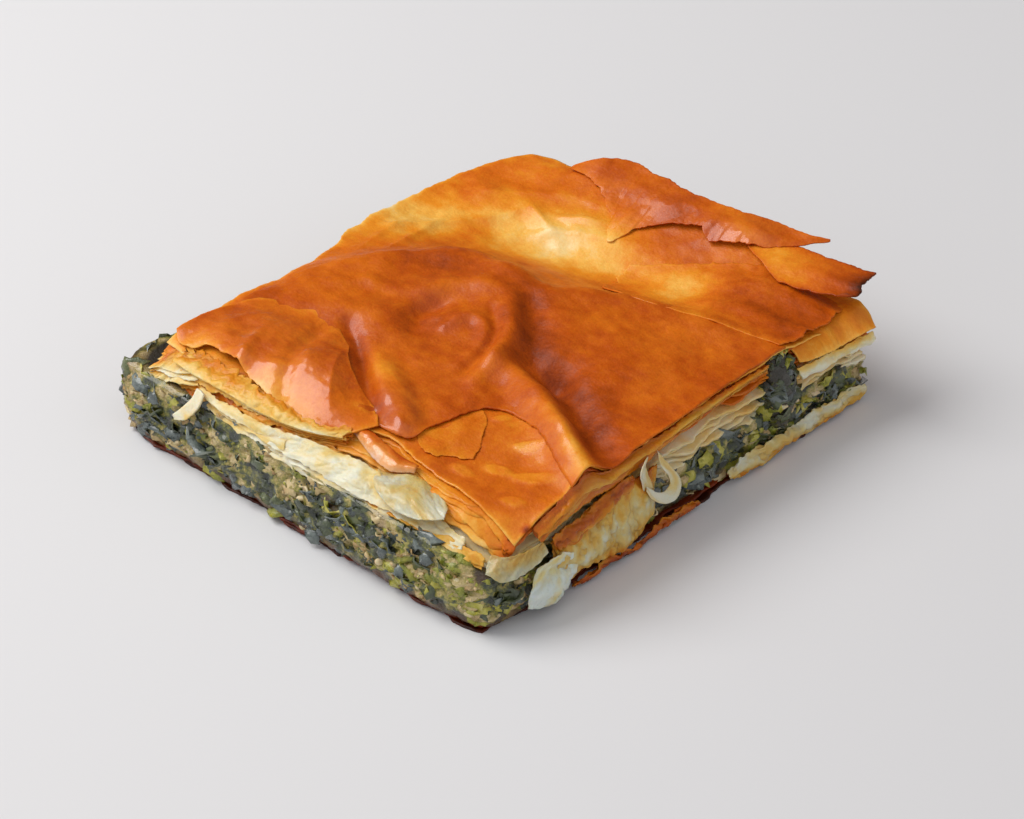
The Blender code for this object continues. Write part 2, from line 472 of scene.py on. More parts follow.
@dataclass(frozen=True)
class SliceForm:
    """The heights of the filling and of the crust over the plan."""

    filling_level: float = 17.8
    crust_level: float = 25.2
    front_corner: Point = (57.0, -60.0)
    right_corner: Point = (59.0, 58.0)
    folds: tuple[Fold | Puff, ...] = (
        # The dome over the middle and the crest along its rear edge
        Fold(((-36, -18, 1.8), (-16, -2, 2.5), (6, 3, 2.3), (28, 9, 1.9), (46, 12, 1.2)), 16.0),
        Fold(
            (
                (-46, -32, 0.8), (-41, -13, 1.4), (-35, -3, 2.0), (-28, 7, 2.3), (-19, 12.5, 2.3),
                (-9, 12.5, 2.0),
            ),
            5.2,
        ),
        Fold(
            (
                (-9, 12.5, 2.0), (0, 12.5, 2.0), (7, 18, 2.3), (14, 23, 2.3), (21, 26, 2.2), (38, 29, 1.6),
                (50, 31, 0.9),
            ),
            5.0,
        ),
        # The curl on the dome, the pit that it goes round and a second curl inside it
        Fold(
            (
                (-18, -6, 0.6), (-16, 0, 1.1), (-11, 4, 1.4), (-4, 6, 1.7), (2, 2, 2.0), (8, -5, 2.1),
                (12, -15, 1.7),
            ),
            3.0,
        ),
        Fold(((12, -15, 1.7), (13, -21, 1.4), (17, -28, 0.7)), 3.0),
        Fold(((-11, -16, -1.4), (-14, -11, -2.4), (-12.5, -5.5, -1.8), (-9, -3, -0.8)), 3.0),
        Fold(((-6, -12, 0.9), (-4, -6.5, 1.1), (1, -6.5, 1.1), (5, -12, 0.9), (6, -20, 0.4)), 1.7),
        Fold(((-2, -1, -0.7), (4, -6, -1.0), (7.5, -13, -0.9), (9, -21, -0.5)), 1.5),
        Fold(((-34, -28, 0.9), (-22, -20, 1.1), (-12, -24, 0.6)), 4.6),
        Fold(((-40, -24, 0.3), (-31, -12, 0.9), (-22, -9, 0.3)), 2.2),
        # The finger beside the blister and the groove between them
        Puff((1.5, -37), (14, 4.4), 2.4, -0.5),
        Fold(((-23, -25.5, -0.9), (-14, -30.7, -1.9), (-4.6, -37.7, -2.0), (4.5, -44.5, -1.2)), 1.7),
        # The panel at the near corner, which sagged
        Puff((34, -43), (25, 10), -1.3, 0.1),
        # The long fold down to the tray edge and the valley behind it
        Fold(
            (
                (13, -13, 1.0), (20, -15, 2.4), (27, -18, 3.6), (38, -23.5, 4.8), (46, -28, 4.8),
                (57, -33.5, 2.6),
            ),
            3.9,
        ),
        Fold(((-4, 10.5, -0.7), (4, 5, -1.5), (10.5, -2, -2.3), (17, -7.5, -2.9), (24, -8.5, -3.1)), 3.8),
        Fold(((24, -8.5, -3.1), (33, -12.5, -3.1), (44, -19, -2.6), (57, -24.5, -1.0)), 3.8),
        # The hollow behind the crest, with two sharp folds in it
        Fold(((-44, 22, -2.6), (-20, 31, -4.6), (2, 34, -4.4), (20, 38, -2.6)), 9.5),
        Fold(((-30, 41, 0.3), (-24, 39, 1.5), (-17, 37, 0.4)), 1.7, FoldShape.CREASED),
        Fold(((-22, 41, 0.4), (-15, 44, 1.4), (-7, 47, 0.4)), 1.9, FoldShape.CREASED),
        # The wave along the back
        Fold(((-42, 54, 1.6), (-22, 57, 3.6), (0, 59, 4.4), (22, 60, 3.8), (38, 62, 2.0)), 7.5),
        # Fine creases down the left side of the hollow
        Fold(((-37, -3, 0.2), (-38, 5, 0.9), (-39.5, 13, 1.1), (-42, 25, 0.4)), 1.7, FoldShape.CREASED),
        Fold(((-43, -2, 0.2), (-45, 8, 0.9), (-46, 18, 0.4)), 1.8, FoldShape.CREASED),
        Fold(((-46, 12, 1.0), (-38, 26, 1.3), (-28, 40, 0.5)), 2.0, FoldShape.CREASED),
        Fold(((-34, 22, 0.8), (-18, 38, 1.1), (2, 46, 0.3)), 2.2, FoldShape.CREASED),
        Fold(((-40, 38, 0.9), (-24, 48, 0.7), (-8, 50, 0.3)), 2.4, FoldShape.CREASED),
    )
    browning_and_painted_light: tuple[Fold | Puff | Toast, ...] = (
        # The hollow stayed golden. The first five darker blots, along its near side under the crest, are
        # painted shade where the crest's back faces away from the light; the others darken it in places.
        Fold(
            (
                (-50, 8, -0.14), (-44, 22, -0.22), (-30, 31, -0.30), (-18, 35, -0.34), (0, 38, -0.20),
                (14, 41, -0.08),
            ),
            9.5,
        ),
        Toast((-33, 15), 4.0, 0.12), Toast((-32, 25), 5.0, 0.18), Toast((-18, 22.5), 6.0, 0.14),
        Toast((-4, 24), 6.0, 0.10), Toast((2, 31), 6.0, 0.16), Toast((-22, 31), 4.0, 0.12),
        Toast((-9, 33), 4.0, 0.10), Toast((12, 37), 5.0, 0.12), Toast((7, 48), 6.0, 0.12),
        Toast((15, 49), 5.0, 0.10), Toast((22, 25), 6.0, 0.06), Toast((8, 33), 6.0, 0.08),
        # Painted shade and painted light on the dome, as the light falls on its folds: painted shade darkens
        # the valley behind the long fold
        Fold(
            ((-4, 10.5, 0.08), (10.5, -2, 0.13), (24, -8.5, 0.14), (45, -19.5, 0.13), (57, -24.5, 0.10)),
            5.0,
        ),
        # Painted light: the curl round the pit is lighter along its ridge
        Fold(((-18, -6, -0.06), (-11, 4, -0.08), (2, 2, -0.10), (8, -5, -0.10), (13, -21, -0.08)), 2.4),
        # Painted highlight along the long fold's crest, strongest at its end; then the sagged panel, which
        # baked a little darker
        Fold(((20, -15, -0.06), (38, -23.5, -0.14), (57, -33.5, -0.10)), 3.4),
        Fold(((40, -25, -0.06), (48, -29.5, -0.18), (57, -34, -0.18)), 2.4), Toast((34, -43), 14.0, 0.08),
        # Paler along the front edge; painted shade darkens the pit
        Fold(((-50, -57, -0.16), (-30, -58, -0.24), (-4, -58, -0.16)), 5.0), Toast((-11, -11), 7.0, 0.10),
        # Paler patches, the finger among them
        Toast((-32, -16), 11.0, -0.11), Toast((36, 10), 14.0, -0.04),
        Puff((-3, -34.5), (11, 4.0), -0.17, -0.5),
        # Painted shade in the groove between the blister and the finger
        Fold(((-23, -25.5, 0.08), (-14, -30.7, 0.14), (-4.6, -37.7, 0.14), (4.5, -44.5, 0.10)), 1.8),
    )

    def filling_top(self, x: Array, y: Array) -> Array:
        """The height of the filling, which is thinner along the tray edge.

        Args:
            x: Plan X.
            y: Plan Y.

        Returns:
            Heights in millimetres.
        """
        taper = smooth_step(14, 58.2, x) * smooth_step(-62, -30, y)
        corner = 4.2 * bell(np.hypot(x - self.front_corner[0], y - self.front_corner[1]), 12)
        left = 1.6 * smooth_step(-52, -57, x) * smooth_step(-48, -30, y)
        return self.filling_level - 6.8 * taper - corner - left

    def crust_top(self, x: Array, y: Array) -> Array:
        """The height of the crust's upper face.

        Args:
            x: Plan X.
            y: Plan Y.

        Returns:
            Heights in millimetres.
        """
        noise = Noise(11)
        height = self.crust_level + 0.3 * noise.at(x, y, 0.0, 15)
        for rise, level, pitch in ((1.0, 7.0, 17.0), (0.5, 3.0, 8.5)):
            height = height + rise * soft_ridge(noise.at(x, y, level, pitch), 0.16)
        for fold in self.folds:
            height = height + fold.height(x, y)
        height -= 10.2 * bell(np.hypot(x - self.front_corner[0], y - self.front_corner[1]), 11.0)
        height -= 3.0 * bell(np.hypot(x - self.right_corner[0], y - self.right_corner[1]), 12.0)
        height -= 2.8 * bell(y + 60.0, 6.0)
        return height

    def browning(self, x: Array, y: Array) -> Array:
        """How much darker than usual the crust is coloured: where it baked darker, and the painted shade and
        painted light of its folds.

        Args:
            x: Plan X.
            y: Plan Y.

        Returns:
            Amounts of browning and painted shade, negative where it stayed pale or carries painted light.
        """
        return sum(patch.height(x, y) for patch in self.browning_and_painted_light)

    def between(self, x: Array, y: Array, share: float | Array) -> Array:
        """The height of a leaf inside the crust.

        Args:
            x: Plan X.
            y: Plan Y.
            share: 0 on the filling and 1 at the crust's upper face.

        Returns:
            Heights in millimetres.
        """
        low = self.filling_top(x, y) + 0.2
        return low + (self.crust_top(x, y) - low) * share


@dataclass(frozen=True)
class Outline:
    """Four sides of an area in the plan: front and back run along X, left and right along Y."""

    front: tuple[Point, ...]
    right: tuple[Point, ...]
    back: tuple[Point, ...]
    left: tuple[Point, ...]

    def sides(self, columns: int, rows: int) -> tuple[Array, Array, Array, Array]:
        """Samples the four sides.

        Args:
            columns: Samples along the front and the back.
            rows: Samples along the left and the right.

        Returns:
            The front, right, back and left sides.
        """
        counts = (columns, rows, columns, rows)
        return tuple(
            (spline(side, n) for side, n in zip((self.front, self.right, self.back, self.left), counts)),
        )

    def around(self, columns: int, rows: int) -> Array:
        """Samples the whole outline anticlockwise, with as many samples on each side as on any outline's."""
        front, right, back, left = self.sides(columns, rows)
        return np.concatenate([front[:-1], right[:-1], back[::-1][:-1], left[::-1][:-1]])

    def loop(self, step: float) -> Array:
        """Samples the whole outline, anticlockwise from the front left corner.

        Args:
            step: The distance between samples.

        Returns:
            A closed loop, whose last sample doesn't repeat the first.
        """
        turns = (self.front, self.right, tuple(reversed(self.back)), tuple(reversed(self.left)))
        parts = []
        for side in turns:
            run = np.linalg.norm(np.diff(np.asarray(side, float), axis=0), axis=1).sum()
            parts.append(spline(side, max(3, int(round(run / step))))[:-1])
        return np.concatenate(parts)


CRUST_TOP_OUTLINE = Outline(
    front=(
        (-50, -55.5), (-30, -57), (-8, -56), (4, -50.5), (11, -48.6), (16, -48.4), (23, -50.2), (36, -51),
        (45, -52), (53, -52.6),
    ),
    right=((53, -52.6), (53.6, -44), (53.6, -30), (54, 0), (54, 30), (54.6, 50), (55, 59)),
    back=((-42, 56), (-36, 57.5), (-30, 57), (-24, 60), (-10, 62), (8, 62.5), (25, 63), (40, 62), (55, 59)),
    left=(
        (-50, -55.5), (-50, -42), (-48.6, -30), (-47.2, -19), (-47.2, -12.6), (-49.4, -3), (-52, 4),
        (-53, 19), (-51, 38), (-46.5, 50), (-42, 56),
    ),
)
CRUST_FOOT_OUTLINE = Outline(
    front=((-50.5, -60), (-30, -61.8), (-8, -62), (12, -61.5), (30, -61.2), (44, -60.6), (52.5, -57.5)),
    right=((52.5, -57.5), (52, -44), (52, -30), (53, 0), (53.4, 30), (54, 50), (56, 62)),
    back=((-48.5, 60.5), (-30, 62), (0, 63), (30, 63), (56, 62)),
    left=((-50.5, -60), (-51, -40), (-50, -16), (-52, 4), (-52, 19), (-51, 39), (-48.5, 60.5)),
)
FILLING_OUTLINE = Outline(
    front=(
        (-57.5, -62.4), (-50, -63.6), (-30, -63.4), (0, -63.9), (16, -64.4), (40, -63.9), (50, -62.4),
        (54, -60),
    ),
    right=((54, -60), (54.6, -50), (53.0, -40), (53.0, -20), (54.0, 0), (54.6, 30), (55.4, 55), (55.4, 62)),
    back=((-56.5, 61.5), (-40, 63), (0, 63.5), (40, 63.6), (55.4, 62)),
    left=(
        (-57.5, -62.4), (-60.2, -56), (-59.4, -48), (-56.4, -36), (-55.4, 0), (-55.2, 40), (-56.0, 56),
        (-56.5, 61.5),
    ),
)


# ------------------------------------------------------------------------------
# Finishes
# ------------------------------------------------------------------------------


def linear(colour: Colour) -> tuple[float, float, float, float]:
    """Turns a colour as a screen shows it into the light that it stands for.

    Args:
        colour: Red, green and blue from 0 to 255.

    Returns:
        Linear red, green, blue and an alpha of 1.
    """
    channels = [c / 255 for c in colour]
    light = [c / 12.92 if c <= 0.04045 else ((c + 0.055) / 1.055) ** 2.4 for c in channels]
    return (*light, 1.0)


class Graph:
    """A small helper for making the nodes of one material or group."""

    def __init__(self, tree: bpy.types.NodeTree) -> None:
        """Holds the tree.

        Args:
            tree: The node tree to add to.
        """
        self.tree = tree

    def node(
        self, kind: str, values: dict[str | int, object] | None = None, **settings: object
    ) -> bpy.types.Node:
        """Adds a node.

        Args:
            kind: Its type.
            values: Values or sockets for its inputs, by name.
            settings: Its own settings.

        Returns:
            The node.
        """
        made = self.tree.nodes.new(kind)
        for title, value in settings.items():
            setattr(made, title, value)
        self.wire(made, values or {})
        return made

    def wire(self, node: bpy.types.Node, values: dict[str | int, object]) -> None:
        """Feeds a node's inputs, by their names."""
        for title, value in values.items():
            self.feed(node.inputs[title], value)

    def feed(self, socket: bpy.types.NodeSocket, value: object) -> None:
        """Links a socket, or sets its value.

        Args:
            socket: The input.
            value: An output socket, or a plain value.
        """
        if isinstance(value, bpy.types.NodeSocket):
            self.tree.links.new(value, socket)
        else:
            socket.default_value = value

    def math(
        self, operation: str, first: object, second: object = 0.0, clamp: bool = False
    ) -> bpy.types.NodeSocket:
        """Adds a Math node.

        Args:
            operation: What it does.
            first: Its first input.
            second: Its second input.
            clamp: Whether the result is kept from 0 to 1.

        Returns:
            Its output.
        """
        made = self.node("ShaderNodeMath", operation=operation, use_clamp=clamp)
        self.feed(made.inputs[0], first)
        self.feed(made.inputs[1], second)
        return made.outputs[0]

    def blend(self, share: object, first: object, second: object) -> bpy.types.NodeSocket:
        """Mixes two colours.

        Args:
            share: How much of the second.
            first: The first colour.
            second: The second colour.

        Returns:
            The mixed colour.
        """
        made = self.node("ShaderNodeMix", data_type="RGBA")
        for socket, value in zip((made.inputs[0], made.inputs[6], made.inputs[7]), (share, first, second)):
            self.feed(socket, value)
        return made.outputs[2]

    def ramp(self, share: object, stops: Sequence[tuple[float, Colour]]) -> bpy.types.NodeSocket:
        """Turns a share into a colour.

        Args:
            share: The value to read.
            stops: Places and screen colours.

        Returns:
            The colour.
        """
        made = self.node("ShaderNodeValToRGB", {"Fac": share})
        ramp = made.color_ramp
        ramp.elements[0].position, ramp.elements[0].color = stops[0][0], linear(stops[0][1])
        ramp.elements[1].position, ramp.elements[1].color = stops[-1][0], linear(stops[-1][1])
        for place, colour in stops[1:-1]:
            ramp.elements.new(place).color = linear(colour)
        return made.outputs["Color"]

    def noise(
        self, scale: float, detail: float = 3.0, offset: float = 0.0, rough: float = 0.55
    ) -> bpy.types.NodeSocket:
        """Adds a noise over the piece's own coordinates.

        Args:
            scale: How many changes it makes in a metre.
            detail: How many finer layers it has.
            offset: Moves the pattern.
            rough: How strong the finer layers are.

        Returns:
            The noise from 0 to 1.
        """
        where = self.node("ShaderNodeTexCoord").outputs["Object"]
        moved = self.node("ShaderNodeMapping", {"Vector": where, "Location": (offset, 0.7 * offset, 0.0)})
        made = self.node("ShaderNodeTexNoise", {"Vector": moved.outputs[0], "Scale": scale, "Detail": detail})
        made.inputs["Roughness"].default_value = rough
        return made.outputs["Fac"]

    def value(self, name: str) -> bpy.types.NodeSocket:
        """Reads one of the piece's own values, by its attribute's name."""
        return self.node("ShaderNodeAttribute", attribute_name=name).outputs["Fac"]

    def multiplied(self, first: object, second: object) -> bpy.types.NodeSocket:
        """Multiplies two colours.

        Args:
            first: The first colour.
            second: The second colour.

        Returns:
            Their product.
        """
        made = self.node("ShaderNodeMix", data_type="RGBA", blend_type="MULTIPLY")
        for socket, value in zip((made.inputs[0], made.inputs[6], made.inputs[7]), (1.0, first, second)):
            self.feed(socket, value)
        return made.outputs[2]

    def relief(
        self, group: bpy.types.NodeTree, inputs: dict[str, float], strength: float, depth: float
    ) -> bpy.types.NodeSocket:
        """Turns a group's height into a normal.

        Args:
            group: The group, whose output is Height.
            inputs: Values for its inputs.
            strength: The bump's strength.
            depth: The bump's distance in millimetres.

        Returns:
            The normal.
        """
        height = self.node("ShaderNodeGroup", node_tree=group)
        self.wire(height, inputs)
        given = {"Height": height.outputs["Height"], "Strength": strength, "Distance": depth * MM}
        return self.node("ShaderNodeBump", given).outputs["Normal"]


def new_group(
    name: str, inputs: dict[str, float], outputs: dict[str, str]
) -> tuple[bpy.types.NodeTree, Graph]:
    """Starts a shader node group.

    Args:
        name: The group's name.
        inputs: Its number inputs and their defaults.
        outputs: Its outputs and their socket types.

    Returns:
        The group and a graph to fill it with.
    """
    tree = bpy.data.node_groups.new(name, "ShaderNodeTree")
    for title, value in inputs.items():
        socket = tree.interface.new_socket(title, in_out="INPUT", socket_type="NodeSocketFloat")
        socket.default_value = value
    for title, kind in outputs.items():
        tree.interface.new_socket(title, in_out="OUTPUT", socket_type=kind)
    return tree, Graph(tree)


class Effects:
    """The shader node groups that several finishes share."""

    def __init__(self) -> None:
        """Builds each group once."""
        self.baked = self._baked()
        self.flaky = self._flaky()
        self.moist = self._moist()

    @staticmethod
    def _baked() -> bpy.types.NodeTree:
        """Browning: turns a piece's browning, which on the crust also carries painted shade and painted
        light, into a colour that is mottled at three scales.
        """
        tree, graph = new_group(
            "baked_pastry", {"Browning": 0.5, "Mottle": 0.2},
            {"Color": "NodeSocketColor", "Dark": "NodeSocketFloat"},
        )
        given = graph.node("NodeGroupInput").outputs
        broad = graph.math("SUBTRACT", graph.noise(55.0, 3.0, 0.31), 0.5)
        fine = graph.math("SUBTRACT", graph.noise(330.0, 4.0, 0.77, 0.6), 0.5)
        speckle = graph.math("SUBTRACT", graph.noise(1500.0, 2.0, 0.13, 0.7), 0.5)
        mottle = graph.math("ADD", broad, graph.math("MULTIPLY", fine, 0.7))
        mottle = graph.math("ADD", mottle, graph.math("MULTIPLY", speckle, 0.4))
        share = graph.math(
            "ADD", given["Browning"], graph.math("MULTIPLY", mottle, given["Mottle"]), clamp=True,
        )
        stops = (
            (0.0, (238, 232, 212)), (0.14, (240, 208, 142)), (0.28, (240, 180, 80)), (0.42, (228, 140, 32)),
            (0.56, (210, 106, 16)), (0.70, (182, 78, 6)), (0.84, (140, 54, 3)), (1.0, (66, 24, 4)),
        )
        out = graph.node("NodeGroupOutput")
        graph.feed(out.inputs["Color"], graph.ramp(share, stops))
        graph.feed(out.inputs["Dark"], share)
        return tree

    @staticmethod
    def _flaky() -> bpy.types.NodeTree:
        """Fine relief of dry leaves: broad puckers, small bubbles and a paper-like grain."""
        tree, graph = new_group("flaky_relief", {"Puckers": 1.0, "Grain": 0.4}, {"Height": "NodeSocketFloat"})
        given = graph.node("NodeGroupInput").outputs
        puckers = graph.math("MULTIPLY", graph.noise(210.0, 3.0, 1.7, 0.5), given["Puckers"])
        grain = graph.math("MULTIPLY", graph.noise(1300.0, 3.0, 2.9, 0.6), given["Grain"])
        out = graph.node("NodeGroupOutput")
        graph.feed(out.inputs["Height"], graph.math("ADD", puckers, grain))
        return tree

    @staticmethod
    def _moist() -> bpy.types.NodeTree:
        """Cooked greens: fine veins and wrinkles with a wet grain."""
        tree, graph = new_group(
            "moist_relief", {"Wrinkles": 1.0, "Grain": 0.5}, {"Height": "NodeSocketFloat"},
        )
        given = graph.node("NodeGroupInput").outputs
        ridge = graph.math("ABSOLUTE", graph.math("SUBTRACT", graph.noise(620.0, 3.0, 0.4), 0.5))
        wrinkles = graph.math("MULTIPLY", ridge, given["Wrinkles"])
        grain = graph.math("MULTIPLY", graph.noise(2400.0, 3.0, 3.3, 0.65), given["Grain"])
        out = graph.node("NodeGroupOutput")
        graph.feed(out.inputs["Height"], graph.math("ADD", wrinkles, grain))
        return tree


def start_material(name: str) -> tuple[bpy.types.Material, Graph, bpy.types.Node]:
    """Starts a material with its Principled shader.

    Args:
        name: The material's name.

    Returns:
        The material, a graph for it and its shader node.
    """
    made = bpy.data.materials.new(name)
    made.use_nodes = True
    graph = Graph(made.node_tree)
    return made, graph, made.node_tree.nodes["Principled BSDF"]


@dataclass(frozen=True)
class PastryFinish:
    """Baked filo: browned as the piece's own values say, and glossy where it was buttered."""

    name: str
    mottle: float = 0.3
    roughness: float = 0.45
    coat: float = 0.7
    coat_roughness: float = 0.16
    shine: float = 0.18
    see_through: float = 0.1
    see_through_reach: float = 1.5
    puckers: float = 1.0
    grain: float = 0.7
    relief: float = 0.4
    tint: Colour = (255, 255, 255)

    def material(self, effects: Effects) -> bpy.types.Material:
        """Builds the material.

        Args:
            effects: The shared node groups.

        Returns:
            The material.
        """
        made, graph, shader = start_material(self.name)
        baked = graph.node("ShaderNodeGroup", node_tree=effects.baked)
        graph.wire(baked, {"Browning": graph.value("browning"), "Mottle": self.mottle})
        uneven = graph.math("MULTIPLY", graph.math("SUBTRACT", graph.noise(260.0, 4.0, 4.1, 0.7), 0.5), 0.5)
        puckered = {"Puckers": self.puckers, "Grain": self.grain}
        look = {
            "Base Color": graph.multiplied(baked.outputs["Color"], linear(self.tint)),
            "Roughness": graph.math("ADD", uneven, self.roughness, clamp=True),
            "Normal": graph.relief(effects.flaky, puckered, self.relief, 0.6),
            "Coat Weight": graph.math("MULTIPLY", graph.value("butter"), self.coat, clamp=True),
            "Coat Roughness": self.coat_roughness,
            "Specular IOR Level": self.shine,
            "Subsurface Weight": self.see_through,
            "Subsurface Scale": self.see_through_reach * MM,
            "Subsurface Radius": (1.0, 0.6, 0.3),
        }
        graph.wire(shader, look)
        return made


@dataclass(frozen=True)
class GreensFinish:
    """Cooked greens, curds or onion: two colours mixed over the piece, with a wet gloss."""

    name: str
    stops: tuple[tuple[float, Colour], ...]
    pitch: float = 260.0
    roughness: float = 0.4
    coat: float = 0.35
    relief: float = 0.5
    see_through: float = 0.0
    own_shade: float = 0.5

    def material(self, effects: Effects) -> bpy.types.Material:
        """Builds the material.

        Args:
            effects: The shared node groups.

        Returns:
            The material.
        """
        made, graph, shader = start_material(self.name)
        spread = graph.math(
            "MULTIPLY", graph.math("SUBTRACT", graph.noise(self.pitch, 4.0, 0.9, 0.6), 0.5), 1.5,
        )
        own = graph.math("MULTIPLY", graph.math("SUBTRACT", graph.value("shade"), 0.5), self.own_shade)
        share = graph.math("ADD", graph.math("ADD", spread, 0.5), own, clamp=True)
        look = {
            "Base Color": graph.ramp(share, self.stops),
            "Roughness": self.roughness,
            "Normal": graph.relief(effects.moist, {}, self.relief, 0.5),
            "Coat Weight": self.coat,
            "Coat Roughness": 0.2,
            "Subsurface Weight": self.see_through,
            "Subsurface Scale": 1.0 * MM,
        }
        graph.wire(shader, look)
        return made


@dataclass(frozen=True)
class FillingFinish:
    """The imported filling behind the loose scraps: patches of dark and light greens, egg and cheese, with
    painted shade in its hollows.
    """

    name: str = "packed_filling"

    def material(self, effects: Effects) -> bpy.types.Material:
        """Builds the material.

        Args:
            effects: The shared node groups.

        Returns:
            The material.
        """
        made, graph, shader = start_material(self.name)
        leaning = graph.math("MULTIPLY", graph.math("SUBTRACT", 0.5, graph.value("mixture")), 0.16)
        patches = graph.math("ADD", graph.noise(300.0, 5.0, 0.2, 0.66), leaning)
        stops = (
            (0.0, (28, 32, 26)), (0.36, (50, 56, 44)), (0.45, (92, 96, 40)), (0.51, (150, 142, 56)),
            (0.58, (188, 166, 96)), (0.66, (212, 188, 132)), (1.0, (218, 198, 150)),
        )
        colour = graph.ramp(patches, stops)
        # Painted shade: the colour darkens where the body sinks in between its lumps
        shadow = graph.ramp(graph.value("cavity_shade"), ((0.0, (36, 36, 26)), (0.5, (255, 255, 255))))
        deep = graph.multiplied(colour, shadow)
        look = {
            "Base Color": graph.blend(graph.value("toasted"), deep, linear((104, 58, 22))),
            "Roughness": 0.4,
            "Normal": graph.relief(effects.moist, {}, 1.0, 1.3),
            "Coat Weight": 0.7,
            "Coat Roughness": 0.16,
        }
        graph.wire(shader, look)
        return made


# ------------------------------------------------------------------------------
# Builders of thin pastry
# ------------------------------------------------------------------------------


@dataclass(frozen=True)
class Leaf:
    """One thin leaf of pastry over part of the plan; its sides are in the order front, right, back, left."""

    name: str
    outline: Outline
    columns: int
    rows: int
    lift: float
    tear: tuple[float, float, float, float] = (0.5, 0.5, 0.5, 0.5)
    curl: tuple[float, float, float, float] = (0.0, 0.0, 0.0, 0.0)
    curl_reach: float = 3.0
    relief: tuple[Fold | Puff, ...] = ()
    toast: tuple[Fold | Puff | Toast, ...] = ()
    butter: tuple[Toast, ...] = ()
    browning: float = 0.62
    share: float = 1.0
    rim: float = -0.2
    buckle: float = 0.3
    thickness: float = 0.35
    seed: int = 1

    def grid(self) -> tuple[Array, list[Array]]:
        """Fills the torn outline with a grid of points.

        Returns:
            The grid, with heights too if the outline has them, and its distance from each of the four sides.
        """
        sides = self.outline.sides(self.columns, self.rows)
        torn = [ragged(side, amount, self.seed + k) for k, (side, amount) in enumerate(zip(sides, self.tear))]
        front, right, back, left = torn
        u = np.linspace(0, 1, self.columns)[None, :, None]
        v = np.linspace(0, 1, self.rows)[:, None, None]
        grid = (1 - v) * front[None] + v * back[None] + (1 - u) * left[:, None] + u * right[:, None]
        grid -= (1 - u) * (1 - v) * front[0] + u * (1 - v) * front[-1]
        grid -= (1 - u) * v * back[0] + u * v * back[-1]
        wide = np.linalg.norm(np.diff(front, axis=0), axis=1).sum()
        deep = np.linalg.norm(np.diff(left, axis=0), axis=1).sum()
        u, v = u[..., 0] + 0 * v[..., 0], v[..., 0] + 0 * u[..., 0]
        return grid, [v * deep, (1 - u) * wide, (1 - v) * deep, u * wide]

    def build(self, form: SliceForm, plan: SlicePlan) -> bpy.types.Object:
        """Makes the leaf.

        Args:
            form: The slice's heights.
            plan: Where the plan lies in the frame.

        Returns:
            The leaf, with its thickness still a modifier.
        """
        grid, away = self.grid()
        x, y = grid[..., 0], grid[..., 1]
        noise = Noise(self.seed + 50)
        z = (grid[..., 2] if grid.shape[-1] == 3 else form.crust_top(x, y)) + self.lift
        for shape in self.relief:
            z = z + shape.height(x, y)
        for distance, curl in zip(away, self.curl):
            z = z + curl * np.exp(-distance / self.curl_reach) * (1 + 0.6 * noise.at(x, y, 4.0, 7))
        rim = np.minimum.reduce(away)
        z = z + 0.3 * noise.at(x, y, 9.0, 6) * np.exp(-rim / 5)
        z = z + self.buckle * soft_ridge(noise.at(x, y, 4.0, 5.5)) + 0.06 * noise.fractal(x, y, 0.0, 3.0, 2)
        z = z + 0.10 * soft_ridge(noise.at(x, y, 14.0, 2.2), 0.05) + 0.05 * noise.at(x / 4, y, 11.0, 1.6)
        high = (z - form.crust_level) / 5.0
        browned = self.browning + 0.05 * np.clip(high, -1.2, 1.2) + 0.09 * noise.fractal(x, y, 2.0, 20, 4)
        browned = browned + self.share * form.browning(x, y) + 0.05 * noise.at(x / 3, y, 8.0, 2.6)
        butter = 0.16 + 0.4 * noise.fractal(x, y, 6.0, 14, 2)
        for patch in self.toast:
            browned = browned + patch.height(x, y)
        for patch in self.butter:
            butter = butter + patch.height(x, y)
        # Paler along the torn rim: partly the thin edge's own colour, partly painted light glowing through it
        browned = browned + self.rim * np.exp(-rim / 0.7)
        faces = grid_faces(self.rows, self.columns)
        return make_sheet(self.name, np.stack([x, y, z], -1), faces, plan, browned, butter, self.thickness)


